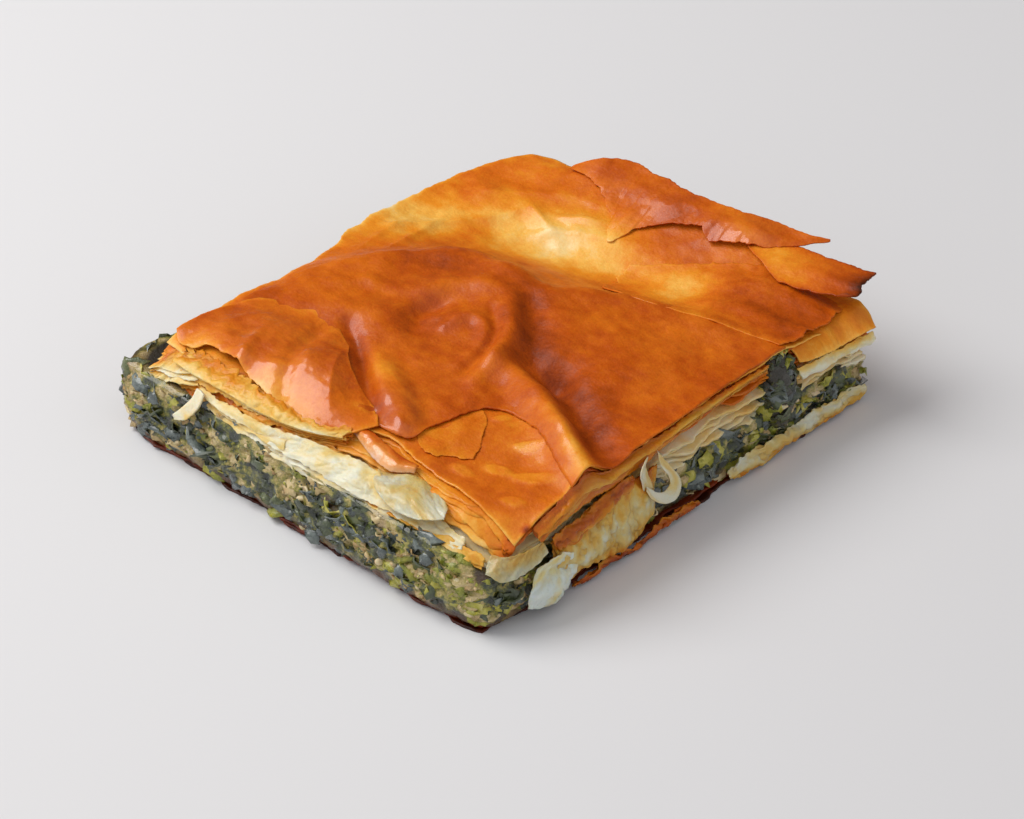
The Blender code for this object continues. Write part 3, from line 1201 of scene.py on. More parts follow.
@dataclass(frozen=True)
class EdgeLeaf:
    """One leaf of a stack that shows only round the slice's sides: a torn band with its middle left out."""

    name: str
    foot: Outline
    top: Outline
    share: float
    height: HeightRule
    samples: tuple[int, int] = (170, 190)
    depth: float = 11.0
    rows: int = 9
    tear: float = 1.0
    gaps: float = 2.0
    wave: float = 0.5
    droop: float = 0.3
    browning: float = 0.3
    rim_browning_and_light: float = 0.0
    tray_browning_and_shade: float = 0.0
    ceiling: HeightRule = lambda x, y: 0 * x + 100.0
    thickness: float = 0.35
    seed: int = 1

    def build(self, plan: SlicePlan) -> bpy.types.Object:
        """Makes the band.

        Args:
            plan: Where the plan lies in the frame.

        Returns:
            The band, with its thickness still a modifier.
        """
        low, high = (outline.around(*self.samples) for outline in (self.foot, self.top))
        line = low + (high - low) * self.share
        along = np.roll(line, -1, 0) - np.roll(line, 1, 0)
        along /= np.linalg.norm(along, axis=1, keepdims=True)
        noise, stack = Noise(self.seed), Noise(71)
        lx, ly = line[:, 0], line[:, 1]
        level = 9.0 * self.share
        out = 1.1 * noise.at(lx, ly, 20, 13) + 0.5 * stack.at(lx, ly, level, 8)
        out = out + 0.5 * noise.at(lx, ly, 0, 4.2) + 0.3 * noise.at(lx, ly, 5, 1.7)
        out = out - self.gaps * smooth_step(0.12, 0.5, noise.at(lx, ly, 60, 19))
        line = line + np.stack([along[:, 1], -along[:, 0]], -1) * (out * self.tear)[:, None]
        middle = line.mean(0)
        inward = np.linspace(0, 1, self.rows) ** 1.4
        x = middle[0] + (line[:, 0] - middle[0])[None] * (1 - inward[:, None] * self.depth / 54)
        y = middle[1] + (line[:, 1] - middle[1])[None] * (1 - inward[:, None] * self.depth / 60)
        edge = 1 - inward[:, None]
        z = self.height(x, y)
        ripple = 0.9 * stack.at(x, y, level + 40, 14) + 0.5 * noise.at(x, y, 8, 9.0)
        ripple = ripple + 0.16 * noise.at(x, y, 3, 2.8)
        z = z + self.wave * ripple * (0.25 + 0.75 * edge) - self.droop * edge**3
        z = np.minimum(z, self.ceiling(x, y) - self.thickness)
        # Crisp leaves are paler at their torn edge: partly their own colour, partly a painted highlight on
        # the edge
        browned = self.browning + self.rim_browning_and_light * edge**4 + 0.12 * noise.fractal(x, y, 1, 9, 2)
        # Darker on the tray side: painted shade, as that side faces away from the light, with some browning
        # where it lay against the tray
        browned = browned + self.tray_browning_and_shade * smooth_step(48, 52, x)
        butter = 0.2 + 0.4 * noise.at(x, y, 2, 8)
        faces = grid_faces(self.rows, x.shape[1], closed=True)
        return make_sheet(self.name, np.stack([x, y, z], -1), faces, plan, browned, butter, self.thickness)


@dataclass(frozen=True)
class Drape:
    """A thin sheet of pastry lofted through lines in space that all run the same way."""

    name: str
    rails: tuple[tuple[Point3, ...], ...]
    columns: int = 60
    rows: int = 40
    browning: tuple[float, ...] = (0.05, 0.05)
    ripple: float = 0.5
    ripple_pitch: float = 5.0
    streak: float = 2.4
    tear: float = 0.5
    layers: int = 1
    spacing: float = 0.4
    step: float = 0.0
    thickness: float = 0.25
    seed: int = 1

    def torn(self, sheet: Array, noise: Noise, level: float, short: float) -> Array:
        """Cuts a sheet back to torn edges.

        Args:
            sheet: Its grid of points.
            noise: What shapes the tears.
            level: Which part of the noise to read.
            short: How much its lower edge falls short, in millimetres.

        Returns:
            A grid of the same size inside the torn edges.
        """
        for turn in (0, 1):
            rows, columns = sheet.shape[:2]
            size = np.linalg.norm(np.diff(sheet, axis=0), axis=2).sum(0)
            run = np.concatenate([[0], np.cumsum(np.linalg.norm(np.diff(sheet[rows // 2], axis=0), axis=1))])
            cuts = []
            for side in (0, 1):
                where = level + 11 * side + 5 * turn
                teeth = 0.7 * noise.at(run, 0 * run, where, 8) + 0.5 * noise.at(run, 0 * run, where, 2.6)
                teeth = 0.5 + teeth + 0.35 * noise.at(run, 0 * run, where + 3, 1.0)
                lost = self.tear * teeth + (short if (turn, side) == (0, 1) else 0.0)
                cuts.append(np.clip(lost / size, 0, 0.45))
            at = (cuts[0] + (1 - cuts[0] - cuts[1]) * np.linspace(0, 1, rows)[:, None]) * (rows - 1)
            low = np.clip(np.floor(at).astype(int), 0, rows - 2)
            part = (at - low)[..., None]
            column = np.arange(columns)[None, :]
            sheet = (sheet[low, column] * (1 - part) + sheet[low + 1, column] * part).transpose(1, 0, 2)
        return sheet

    def build(self, plan: SlicePlan) -> bpy.types.Object:
        """Makes the sheet and the layers under it.

        Args:
            plan: Where the plan lies in the frame.

        Returns:
            The sheets as one object, with their thickness still a modifier.
        """
        noise = Noise(self.seed)
        lines = np.stack([spline(rail, self.columns) for rail in self.rails])
        smooth = spline(lines.reshape(len(lines), -1), self.rows).reshape(self.rows, self.columns, 3)
        quads = np.array(grid_faces(self.rows, self.columns))
        stops = np.linspace(0, 1, len(self.browning))
        base = np.interp(np.linspace(0, 1, self.rows), stops, self.browning)[:, None]
        points, faces, browned, butter = [], [], [], []
        for layer in range(self.layers):
            level = 23.0 * layer
            sheet = self.torn(smooth, noise, level, self.step * (self.layers - 1 - layer))
            across, down = np.gradient(sheet, axis=1), np.gradient(sheet, axis=0)
            normal = np.cross(across, down)
            normal /= np.linalg.norm(normal, axis=2, keepdims=True) + 1e-9
            run = np.cumsum(np.linalg.norm(across, axis=2), axis=1) / self.streak
            fall = np.cumsum(np.linalg.norm(down, axis=2), axis=0)
            bend = noise.at(run, fall, level, self.ripple_pitch)
            bend = bend + 0.5 * noise.at(run, fall, level + 9, self.ripple_pitch / 2.4)
            bend = bend + 0.2 * noise.at(run, fall, level + 4, self.ripple_pitch / 5)
            sheet = sheet + normal * (self.ripple * bend + self.spacing * layer)[..., None]
            sheet[..., 2] = np.maximum(sheet[..., 2] - 0.3 * layer, 0.25 + self.thickness)
            faces += (quads + layer * self.rows * self.columns).tolist()
            points.append(sheet)
            browned.append(base + 0.18 * noise.fractal(run, fall, level + 10, 5, 4) + 0.05 * layer)
            butter.append(0.4 + 0.5 * noise.at(run, fall, level + 20, 7))
        tones = np.stack(browned), np.stack(butter)
        return make_sheet(self.name, np.stack(points), faces, plan, *tones, self.thickness)


@dataclass(frozen=True)
class Block:
    """A closed body between two heights over an outline: what fills the slice behind its leaves."""

    name: str
    outline: Outline
    low: HeightRule
    high: HeightRule
    inset: float
    columns: int = 50
    rows: int = 56
    levels: int = 5
    browning: float = 0.2

    def build(self, plan: SlicePlan) -> bpy.types.Object:
        """Makes the body.

        Args:
            plan: Where the plan lies in the frame.

        Returns:
            The closed body.
        """
        loop = self.outline.around(self.columns, self.rows)
        middle = loop.mean(0)
        size = np.abs(loop - middle).max(0)
        shrunk = 1 - self.inset / size
        rings = []
        for share in np.linspace(0.02, 1, 12):
            rings.append((middle + (loop - middle) * shrunk * share, 0.0))
        for level in range(1, self.levels + 1):
            rings.append((middle + (loop - middle) * shrunk, level / self.levels))
        for share in np.linspace(1, 0.02, 12)[1:]:
            rings.append((middle + (loop - middle) * shrunk * share, 1.0))
        points = []
        for ring, rise in rings:
            low, high = self.low(ring[:, 0], ring[:, 1]), self.high(ring[:, 0], ring[:, 1])
            points.append(np.column_stack([ring, low + (high - low) * rise]))
        count = len(loop)
        grid = np.concatenate(points)
        faces = grid_faces(len(rings), count, closed=True)
        faces.append(tuple(range(count - 1, -1, -1)))
        faces.append(tuple(range((len(rings) - 1) * count, len(rings) * count)))
        values = {"browning": np.full(len(grid), self.browning), "butter": np.full(len(grid), 0.3)}
        return make_piece(self.name, grid, faces, plan, values)


# ------------------------------------------------------------------------------
# Small loose pieces
# ------------------------------------------------------------------------------


@dataclass(frozen=True)
class Scrap:
    """A small crumpled scrap of leaf, or a strip of onion, before it is scattered."""

    length: float
    width: float
    crumple: float
    thickness: float
    seed: int
    columns: int = 6
    rows: int = 4

    def build(self, name: str) -> bpy.types.Object:
        """Makes one scrap as a closed sheet.

        Args:
            name: Its name.

        Returns:
            The scrap, in no collection.
        """
        noise = Noise(self.seed)
        u, v = np.meshgrid(np.linspace(-1, 1, self.columns), np.linspace(-1, 1, self.rows))
        x = 0.5 * self.length * u * np.sqrt(1 - 0.35 * v**2)
        y = 0.5 * self.width * v * np.sqrt(1 - 0.45 * u**2)
        x = x + 0.22 * self.width * noise.at(x, y, 3, 1.6)
        y = y + 0.30 * self.width * noise.at(x, y, 9, 1.6)
        z = self.crumple * (noise.at(x, y, 5, 1.9) + 0.5 * noise.at(x, y, 1, 1.0))
        z = z - 0.06 * self.crumple * x**2
        sheet = np.stack([x, y, z], -1).reshape(-1, 3)
        below = sheet - (0, 0, self.thickness)
        count = len(sheet)
        top = grid_faces(self.rows, self.columns)
        under = [tuple(count + i for i in reversed(face)) for face in top]
        last = (self.rows - 1) * self.columns
        rim = list(range(self.columns)) + [r * self.columns + self.columns - 1 for r in range(1, self.rows)]
        rim += [last + c for c in range(self.columns - 2, -1, -1)]
        rim += [r * self.columns for r in range(self.rows - 2, 0, -1)]
        skirt = [(a, count + a, count + b, b) for a, b in zip(rim, rim[1:] + rim[:1])]
        mesh = bpy.data.meshes.new(name)
        mesh.from_pydata((np.concatenate([sheet, below]) * MM).tolist(), [], top + under + skirt)
        mesh.shade_smooth()
        return bpy.data.objects.new(name, mesh)


@dataclass(frozen=True)
class Curd:
    """A crumb of cheese or egg, before it is scattered."""

    size: Point3
    lumps: float
    seed: int

    def build(self, name: str) -> bpy.types.Object:
        """Makes one crumb.

        Args:
            name: Its name.

        Returns:
            The crumb, in no collection.
        """
        form = bmesh.new()
        bmesh.ops.create_icosphere(form, subdivisions=2, radius=1.0)
        noise = Noise(self.seed)
        points = np.array([corner.co for corner in form.verts])
        grow = 1 + self.lumps * noise.at(points[:, 0], points[:, 1], points[:, 2], 0.8)
        moved = points * grow[:, None] * 0.5 * np.array(self.size) * MM
        for corner, place in zip(form.verts, moved.tolist()):
            corner.co = place
        mesh = bpy.data.meshes.new(name)
        form.to_mesh(mesh)
        form.free()
        mesh.shade_smooth()
        return bpy.data.objects.new(name, mesh)


@dataclass(frozen=True)
class Scatter:
    """Loose pieces of one kind, spread over a surface by a Geometry Nodes tree."""

    name: str
    shapes: tuple[Scrap | Curd, ...]
    density: float
    spacing: float
    size: tuple[float, float]
    lift: float
    tilt: Point3
    where: str
    seed: int

    def tree(self) -> bpy.types.NodeTree:
        """Builds the tree: points on the surface, a piece on each, turned, sunk, shaded and made real.

        Returns:
            The node tree.
        """
        tree = bpy.data.node_groups.new(self.name, "GeometryNodeTree")
        kinds = {
            "Geometry": "NodeSocketGeometry",
            "Pieces": "NodeSocketCollection",
            "Finish": "NodeSocketMaterial",
            "Density": "NodeSocketFloat",
            "Spacing": "NodeSocketFloat",
            "Smallest": "NodeSocketFloat",
            "Largest": "NodeSocketFloat",
            "Lift": "NodeSocketFloat",
            "Tilt": "NodeSocketVector",
            "Seed": "NodeSocketInt",
        }
        for title, kind in kinds.items():
            tree.interface.new_socket(title, in_out="INPUT", socket_type=kind)
        tree.interface.new_socket("Geometry", in_out="OUTPUT", socket_type="NodeSocketGeometry")
        graph = Graph(tree)
        given = graph.node("NodeGroupInput").outputs
        share = graph.node("GeometryNodeInputNamedAttribute", {"Name": self.where}, data_type="FLOAT")
        spread = graph.node("GeometryNodeDistributePointsOnFaces", distribute_method="POISSON")
        wanted = {
            "Mesh": given["Geometry"],
            "Distance Min": given["Spacing"],
            "Density Max": given["Density"],
            "Density Factor": share.outputs[0],
            "Seed": given["Seed"],
        }
        graph.wire(spread, wanted)
        pieces = graph.node("GeometryNodeCollectionInfo", {"Collection": given["Pieces"]})
        pieces.inputs["Separate Children"].default_value = True
        pieces.inputs["Reset Children"].default_value = True
        facing = graph.node(
            "FunctionNodeAlignRotationToVector", {"Vector": spread.outputs["Normal"]}, axis="Z",
        )
        level = graph.node("ShaderNodeVectorMath", {0: spread.outputs["Normal"]}, operation="CROSS_PRODUCT")
        level.inputs[1].default_value = (0, 0, 1)
        lying = graph.node(
            "FunctionNodeAlignRotationToVector", {"Rotation": facing.outputs[0], "Vector": level.outputs[0]},
            axis="X", pivot_axis="Z",
        )
        scale = graph.node("FunctionNodeRandomValue", {"Seed": given["Seed"]}, data_type="FLOAT")
        graph.feed(scale.inputs[2], given["Smallest"])
        graph.feed(scale.inputs[3], given["Largest"])
        placed = graph.node(
            "GeometryNodeInstanceOnPoints",
            {"Points": spread.outputs["Points"], "Instance": pieces.outputs[0], "Rotation": lying.outputs[0]},
        )
        placed.inputs["Pick Instance"].default_value = True
        graph.feed(placed.inputs["Scale"], scale.outputs[1])
        tilt = graph.node("FunctionNodeRandomValue", {"Seed": given["Seed"]}, data_type="FLOAT_VECTOR")
        opposite = graph.node("ShaderNodeVectorMath", {0: given["Tilt"]}, operation="SCALE")
        opposite.inputs["Scale"].default_value = -1.0
        graph.feed(tilt.inputs[0], opposite.outputs[0])
        graph.feed(tilt.inputs[1], given["Tilt"])
        turned = graph.node(
            "GeometryNodeRotateInstances", {"Instances": placed.outputs[0], "Rotation": tilt.outputs[0]},
        )
        out = graph.node("ShaderNodeCombineXYZ", {"Z": given["Lift"]})
        raised = graph.node("GeometryNodeTranslateInstances", {"Instances": turned.outputs[0]})
        graph.feed(raised.inputs["Translation"], out.outputs[0])
        shade = graph.node("FunctionNodeRandomValue", {"Seed": given["Seed"]}, data_type="FLOAT")
        named = graph.node(
            "GeometryNodeStoreNamedAttribute", {"Geometry": raised.outputs[0], "Name": "shade"},
        )
        named.data_type, named.domain = "FLOAT", "INSTANCE"
        graph.feed(named.inputs["Value"], shade.outputs[1])
        real = graph.node("GeometryNodeRealizeInstances", {"Geometry": named.outputs[0]})
        finished = graph.node(
            "GeometryNodeSetMaterial", {"Geometry": real.outputs[0], "Material": given["Finish"]},
        )
        graph.node("NodeGroupOutput", {"Geometry": finished.outputs[0]})
        return tree

    @staticmethod
    def off_the_floor(heights: Array) -> Array:
        """Presses what would hang below the floor flat, above it.

        Args:
            heights: Heights in metres.

        Returns:
            Heights above the floor, the same where they are over a millimetre.
        """
        pressed = MM * (0.2 + 0.8 * np.exp(np.minimum(heights / MM - 1, 0) / 0.8))
        return np.where(heights < MM, pressed, heights)

    def build(self, surface: bpy.types.Object, material: bpy.types.Material) -> bpy.types.Object:
        """Scatters the pieces and makes them one plain mesh.

        Args:
            surface: What they lie on, with the attribute that says where.
            material: Their material.

        Returns:
            The scattered pieces as one object.
        """
        shelf = bpy.data.collections.new(self.name + "_shapes")
        for number, shape in enumerate(self.shapes):
            shelf.objects.link(shape.build(f"{self.name}_shape_{number}"))
        carrier = bpy.data.objects.new(self.name + "_carrier", surface.data)
        bpy.context.scene.collection.objects.link(carrier)
        scatter = carrier.modifiers.new("scatter", "NODES")
        scatter.node_group = self.tree()
        values = {
            "Pieces": shelf,
            "Finish": material,
            "Density": float(self.density),
            "Spacing": self.spacing * MM,
            "Smallest": self.size[0],
            "Largest": self.size[1],
            "Lift": self.lift * MM,
            "Tilt": self.tilt,
            "Seed": self.seed,
        }
        for socket in scatter.node_group.interface.items_tree:
            if socket.in_out == "INPUT" and socket.name in values:
                scatter[socket.identifier] = values[socket.name]
        seen = carrier.evaluated_get(bpy.context.evaluated_depsgraph_get())
        mesh = bpy.data.meshes.new_from_object(seen)
        mesh.name = self.name
        places = np.empty(3 * len(mesh.vertices), np.float32)
        mesh.vertices.foreach_get("co", places)
        places[2::3] = self.off_the_floor(places[2::3])
        mesh.vertices.foreach_set("co", places)
        bpy.data.objects.remove(carrier)
        for template in list(shelf.objects):
            bpy.data.objects.remove(template)
        bpy.data.collections.remove(shelf)
        made = bpy.data.objects.new(self.name, mesh)
        bpy.context.scene.collection.objects.link(made)
        return made


# ------------------------------------------------------------------------------
# The filling
# ------------------------------------------------------------------------------


@dataclass(frozen=True)
class Filling:
    """Spinach, cheese and egg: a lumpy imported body, with scraps and crumbs loose on the sides that show."""

    form: SliceForm
    step: float = 0.6
    rows: int = 34
    foot: float = 1.3
    lump_centre: Point3 = (52.2, 33.0, 14.2)
    lump_radii: Point3 = (5.4, 5.2, 11.3)
    greens: tuple[Scrap, ...] = tuple(Scrap(6.0 + 1.0 * k, 3.6 + 0.4 * k, 2.0, 0.2, 30 + k) for k in range(6))
    curds: tuple[Curd, ...] = (
        Curd((1.9, 1.5, 1.2), 0.5, 41), Curd((1.4, 1.3, 1.0), 0.5, 42), Curd((2.6, 1.7, 1.4), 0.6, 43),
    )
    slivers: tuple[Scrap, ...] = (Scrap(6.5, 1.5, 0.9, 0.5, 61), Scrap(5.0, 1.3, 1.1, 0.5, 62))

    def looks(self, x: Array, y: Array, z: Array, rise: Array, lumps: Array) -> dict[str, Array]:
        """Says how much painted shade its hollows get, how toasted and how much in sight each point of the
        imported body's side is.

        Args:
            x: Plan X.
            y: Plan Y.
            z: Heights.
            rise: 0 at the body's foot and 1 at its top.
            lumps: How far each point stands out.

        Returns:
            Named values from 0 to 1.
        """
        noise = Noise(21)
        shown = np.sin(np.pi * rise) ** 0.3 * (0.7 + 0.6 * noise.at(x, y, z, 12)) * smooth_step(1.8, 4.0, z)
        right = smooth_step(51, 54, x) * (1 - smooth_step(-60, -52, -y))
        shown = shown * (1 - 0.7 * smooth_step(58, 61, y) * smooth_step(12, 15, z))
        shown = shown * (1 - 0.5 * right) * (1 - 0.5 * smooth_step(-55, -58, x))
        slate = smooth_step(-0.22, 0.12, noise.at(x, y, 1.3 * z + 30, 8.5))
        near = 0.6 + 0.8 * smooth_step(5, 50, x)
        toasted = smooth_step(4.0, 0.0, z - self.foot) * (0.75 + 0.5 * noise.at(x, y, 80, 5))
        toasted = toasted + 0.35 * smooth_step(8, 2, np.hypot(x + 58, y + 60))
        toasted = toasted + 0.5 * smooth_step(0.2, 0.5, noise.at(x, y, z + 70, 6)) * smooth_step(8, 14, z)
        values = {
            "showing": shown,
            # Painted shade: points that sink in get darker
            "cavity_shade": 0.5 + 0.35 * lumps,
            "toasted": toasted,
            "mixture": slate,
            "slate": shown * (0.3 + 0.7 * slate),
            "fresh": shown * (1.1 - slate) * near,
            "curdy": shown * (1.05 - slate),
        }
        return {name: np.clip(value, 0, 1) for name, value in values.items()}

    def core(self, plan: SlicePlan) -> bpy.types.Object:
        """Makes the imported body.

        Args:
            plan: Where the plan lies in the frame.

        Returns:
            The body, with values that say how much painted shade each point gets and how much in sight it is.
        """
        loop = FILLING_OUTLINE.loop(self.step)
        along = np.roll(loop, -1, 0) - np.roll(loop, 1, 0)
        along /= np.linalg.norm(along, axis=1, keepdims=True)
        out = np.stack([along[:, 1], -along[:, 0]], -1)
        rise = np.linspace(0, 1, self.rows)[:, None]
        bulge = -2.2 + 1.5 * np.sin(np.pi * np.clip(rise * 0.8 + 0.1, 0, 1)) ** 0.4
        top = self.form.filling_top(loop[:, 0], loop[:, 1])[None]
        z = self.foot + (top - self.foot) * rise
        x = loop[:, 0][None] + out[:, 0][None] * bulge
        y = loop[:, 1][None] + out[:, 1][None] * bulge
        noise = Noise(21)
        big = 0.75 * noise.at(x, y, 1.5 * z, 7.5)
        lumps = 2.2 * (0.42 - np.abs(noise.at(x, y, 1.7 * z + 90, 4.6)))
        fine = 1.1 * (0.42 - np.abs(noise.at(x, y, 1.6 * z + 50, 2.1))) + 0.4 * noise.at(x, y, 1.6 * z, 1.1)
        push = big + lumps + fine
        push = push * np.sqrt(np.sin(np.pi * np.clip(rise, 0.03, 0.97)))
        x, y = x + out[:, 0][None] * push, y + out[:, 1][None] * push
        z = z + 0.25 * noise.at(x, y, z, 3.0) * np.sin(np.pi * rise)
        middle = loop.mean(0)
        shares = np.array([0.03, 0.5, 0.85, 0.95])
        side = [np.column_stack([x[r], y[r], z[r]]) for r in range(self.rows)]
        centre = np.append(middle, 0.0)
        flat = np.array([1.0, 1.0, 0.0])
        under = [side[0] + (centre - side[0]) * flat * (1 - s) for s in shares]
        over = [side[-1] + (centre - side[-1]) * flat * (1 - s) for s in shares[::-1]]
        rings = under + side + over
        count = len(loop)
        faces = grid_faces(len(rings), count, closed=True)
        faces += [tuple(range(count - 1, -1, -1)), tuple(range((len(rings) - 1) * count, len(rings) * count))]
        blank = np.zeros((len(shares), count))
        looks = self.looks(x, y, z, rise, lumps + fine)
        values = {name: np.concatenate([blank, value, blank]) for name, value in looks.items()}
        return make_piece("spinach_core", np.concatenate(rings), faces, plan, values)

    def lump(self, plan: SlicePlan) -> bpy.types.Object:
        """Makes the lump of filling that broke through the tray edge.

        Args:
            plan: Where the plan lies in the frame.

        Returns:
            The lump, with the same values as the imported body.
        """
        noise = Noise(23)
        turn, tall = np.meshgrid(np.linspace(0, 2 * math.pi, 90, endpoint=False), np.linspace(-1.5, 1.5, 60))
        sphere = np.stack([np.cos(turn) * np.cos(tall), np.sin(turn) * np.cos(tall), np.sin(tall)], -1)
        size = np.array(self.lump_radii)
        where = sphere * size
        x, y, z = where[..., 0], where[..., 1], where[..., 2]
        grow = 0.13 * (0.4 - np.abs(noise.at(x, y, z, 3.6))) + 0.07 * (0.4 - np.abs(noise.at(x, y, z, 1.7)))
        points = (where * (0.95 + grow[..., None]) + np.array(self.lump_centre)).reshape(-1, 3)
        rows, columns = turn.shape
        faces = grid_faces(rows, columns, closed=True)
        faces += [tuple(range(columns - 1, -1, -1)), tuple(range((rows - 1) * columns, rows * columns))]
        values = {
            "showing": np.ones(len(points)),
            # Painted shade in the lump's hollows
            "cavity_shade": np.clip(0.5 + 4 * grow.ravel(), 0, 1),
            "toasted": np.full(len(points), 0.12),
            "mixture": np.full(len(points), 1.9),
            "slate": np.ones(len(points)),
            "fresh": np.full(len(points), 0.10),
            "curdy": np.full(len(points), 0.05),
        }
        return make_piece("spinach_lump", points, faces, plan, values)

    @staticmethod
    def finishes(effects: Effects) -> tuple[bpy.types.Material, ...]:
        """Builds the loose pieces' materials.

        Args:
            effects: The shared node groups.

        Returns:
            Slate, dark and fresh greens, egg, and cheese curd.
        """
        slate = GreensFinish(
            "slate_leaf",
            ((0.0, (30, 36, 36)), (0.4, (62, 72, 70)), (0.75, (104, 114, 108)), (1.0, (140, 146, 130))),
            roughness=0.26, coat=1.0, relief=1.0,
        ).material(effects)
        dark = GreensFinish(
            "dark_leaf",
            ((0.0, (18, 24, 16)), (0.4, (40, 50, 30)), (0.75, (74, 84, 42)), (1.0, (110, 114, 60))),
            roughness=0.3, coat=0.8, relief=1.0,
        ).material(effects)
        green = GreensFinish(
            "green_leaf",
            ((0.0, (62, 72, 14)), (0.4, (124, 128, 30)), (0.75, (182, 174, 62)), (1.0, (212, 200, 122))),
            roughness=0.36, coat=0.4, relief=0.9,
        ).material(effects)
        egg = GreensFinish(
            "egg_and_cheese",
            ((0.0, (128, 92, 46)), (0.4, (176, 142, 88)), (0.75, (204, 182, 132)), (1.0, (226, 210, 170))),
            roughness=0.45, coat=0.2, relief=0.9,
        ).material(effects)
        curd = GreensFinish(
            "cheese_curd", ((0.0, (160, 130, 84)), (0.5, (200, 176, 126)), (1.0, (230, 214, 176))),
            roughness=0.5, coat=0.15, see_through=0.15,
        ).material(effects)
        return slate, dark, green, egg, curd

    def build(self, plan: SlicePlan, effects: Effects) -> None:
        """Builds the body, the lump and the loose pieces.

        Args:
            plan: Where the plan lies in the frame.
            effects: The shared node groups.
        """
        packed = FillingFinish().material(effects)
        slate, dark, green, egg, curd = self.finishes(effects)
        core, lump = self.core(plan), self.lump(plan)
        settle(core, Slot.FILLING, packed, Slot.FILLING)
        settle(lump, Slot.FILLING, packed)
        out, flat = (0.7, 0.4, 0.6), (0.5, 0.3, 0.6)
        for body, tag in ((core, ""), (lump, "_lump")):
            slaty = 1.0 if body is core else 0.12
            kinds = (
                ("slate_scraps", slate, self.greens, 200000 * slaty, 1.4, (0.4, 1.15), -0.3, out, "slate", 5),
                ("dark_scraps", dark, self.greens, 200000, 1.4, (0.3, 0.8), -0.1, out, "slate", 15),
                ("green_scraps", green, self.greens, 300000, 1.4, (0.3, 0.85), -0.1, out, "fresh", 6),
                ("egg_scraps", egg, self.greens, 230000, 1.5, (0.25, 0.7), -0.1, flat, "curdy", 9),
                ("cheese_crumbs", curd, self.curds, 110000, 1.6, (0.3, 1.1), 0.0, out, "curdy", 7),
                ("onion_slivers", curd, self.slivers, 7000, 5.0, (0.5, 0.9), 0.1, out, "showing", 8),
            )
            for name, finish, *rest in kinds:
                settle(Scatter(name + tag, *rest).build(body, finish), Slot.FILLING, finish)


# ------------------------------------------------------------------------------
# The crust, the base and the tray edge
# ------------------------------------------------------------------------------


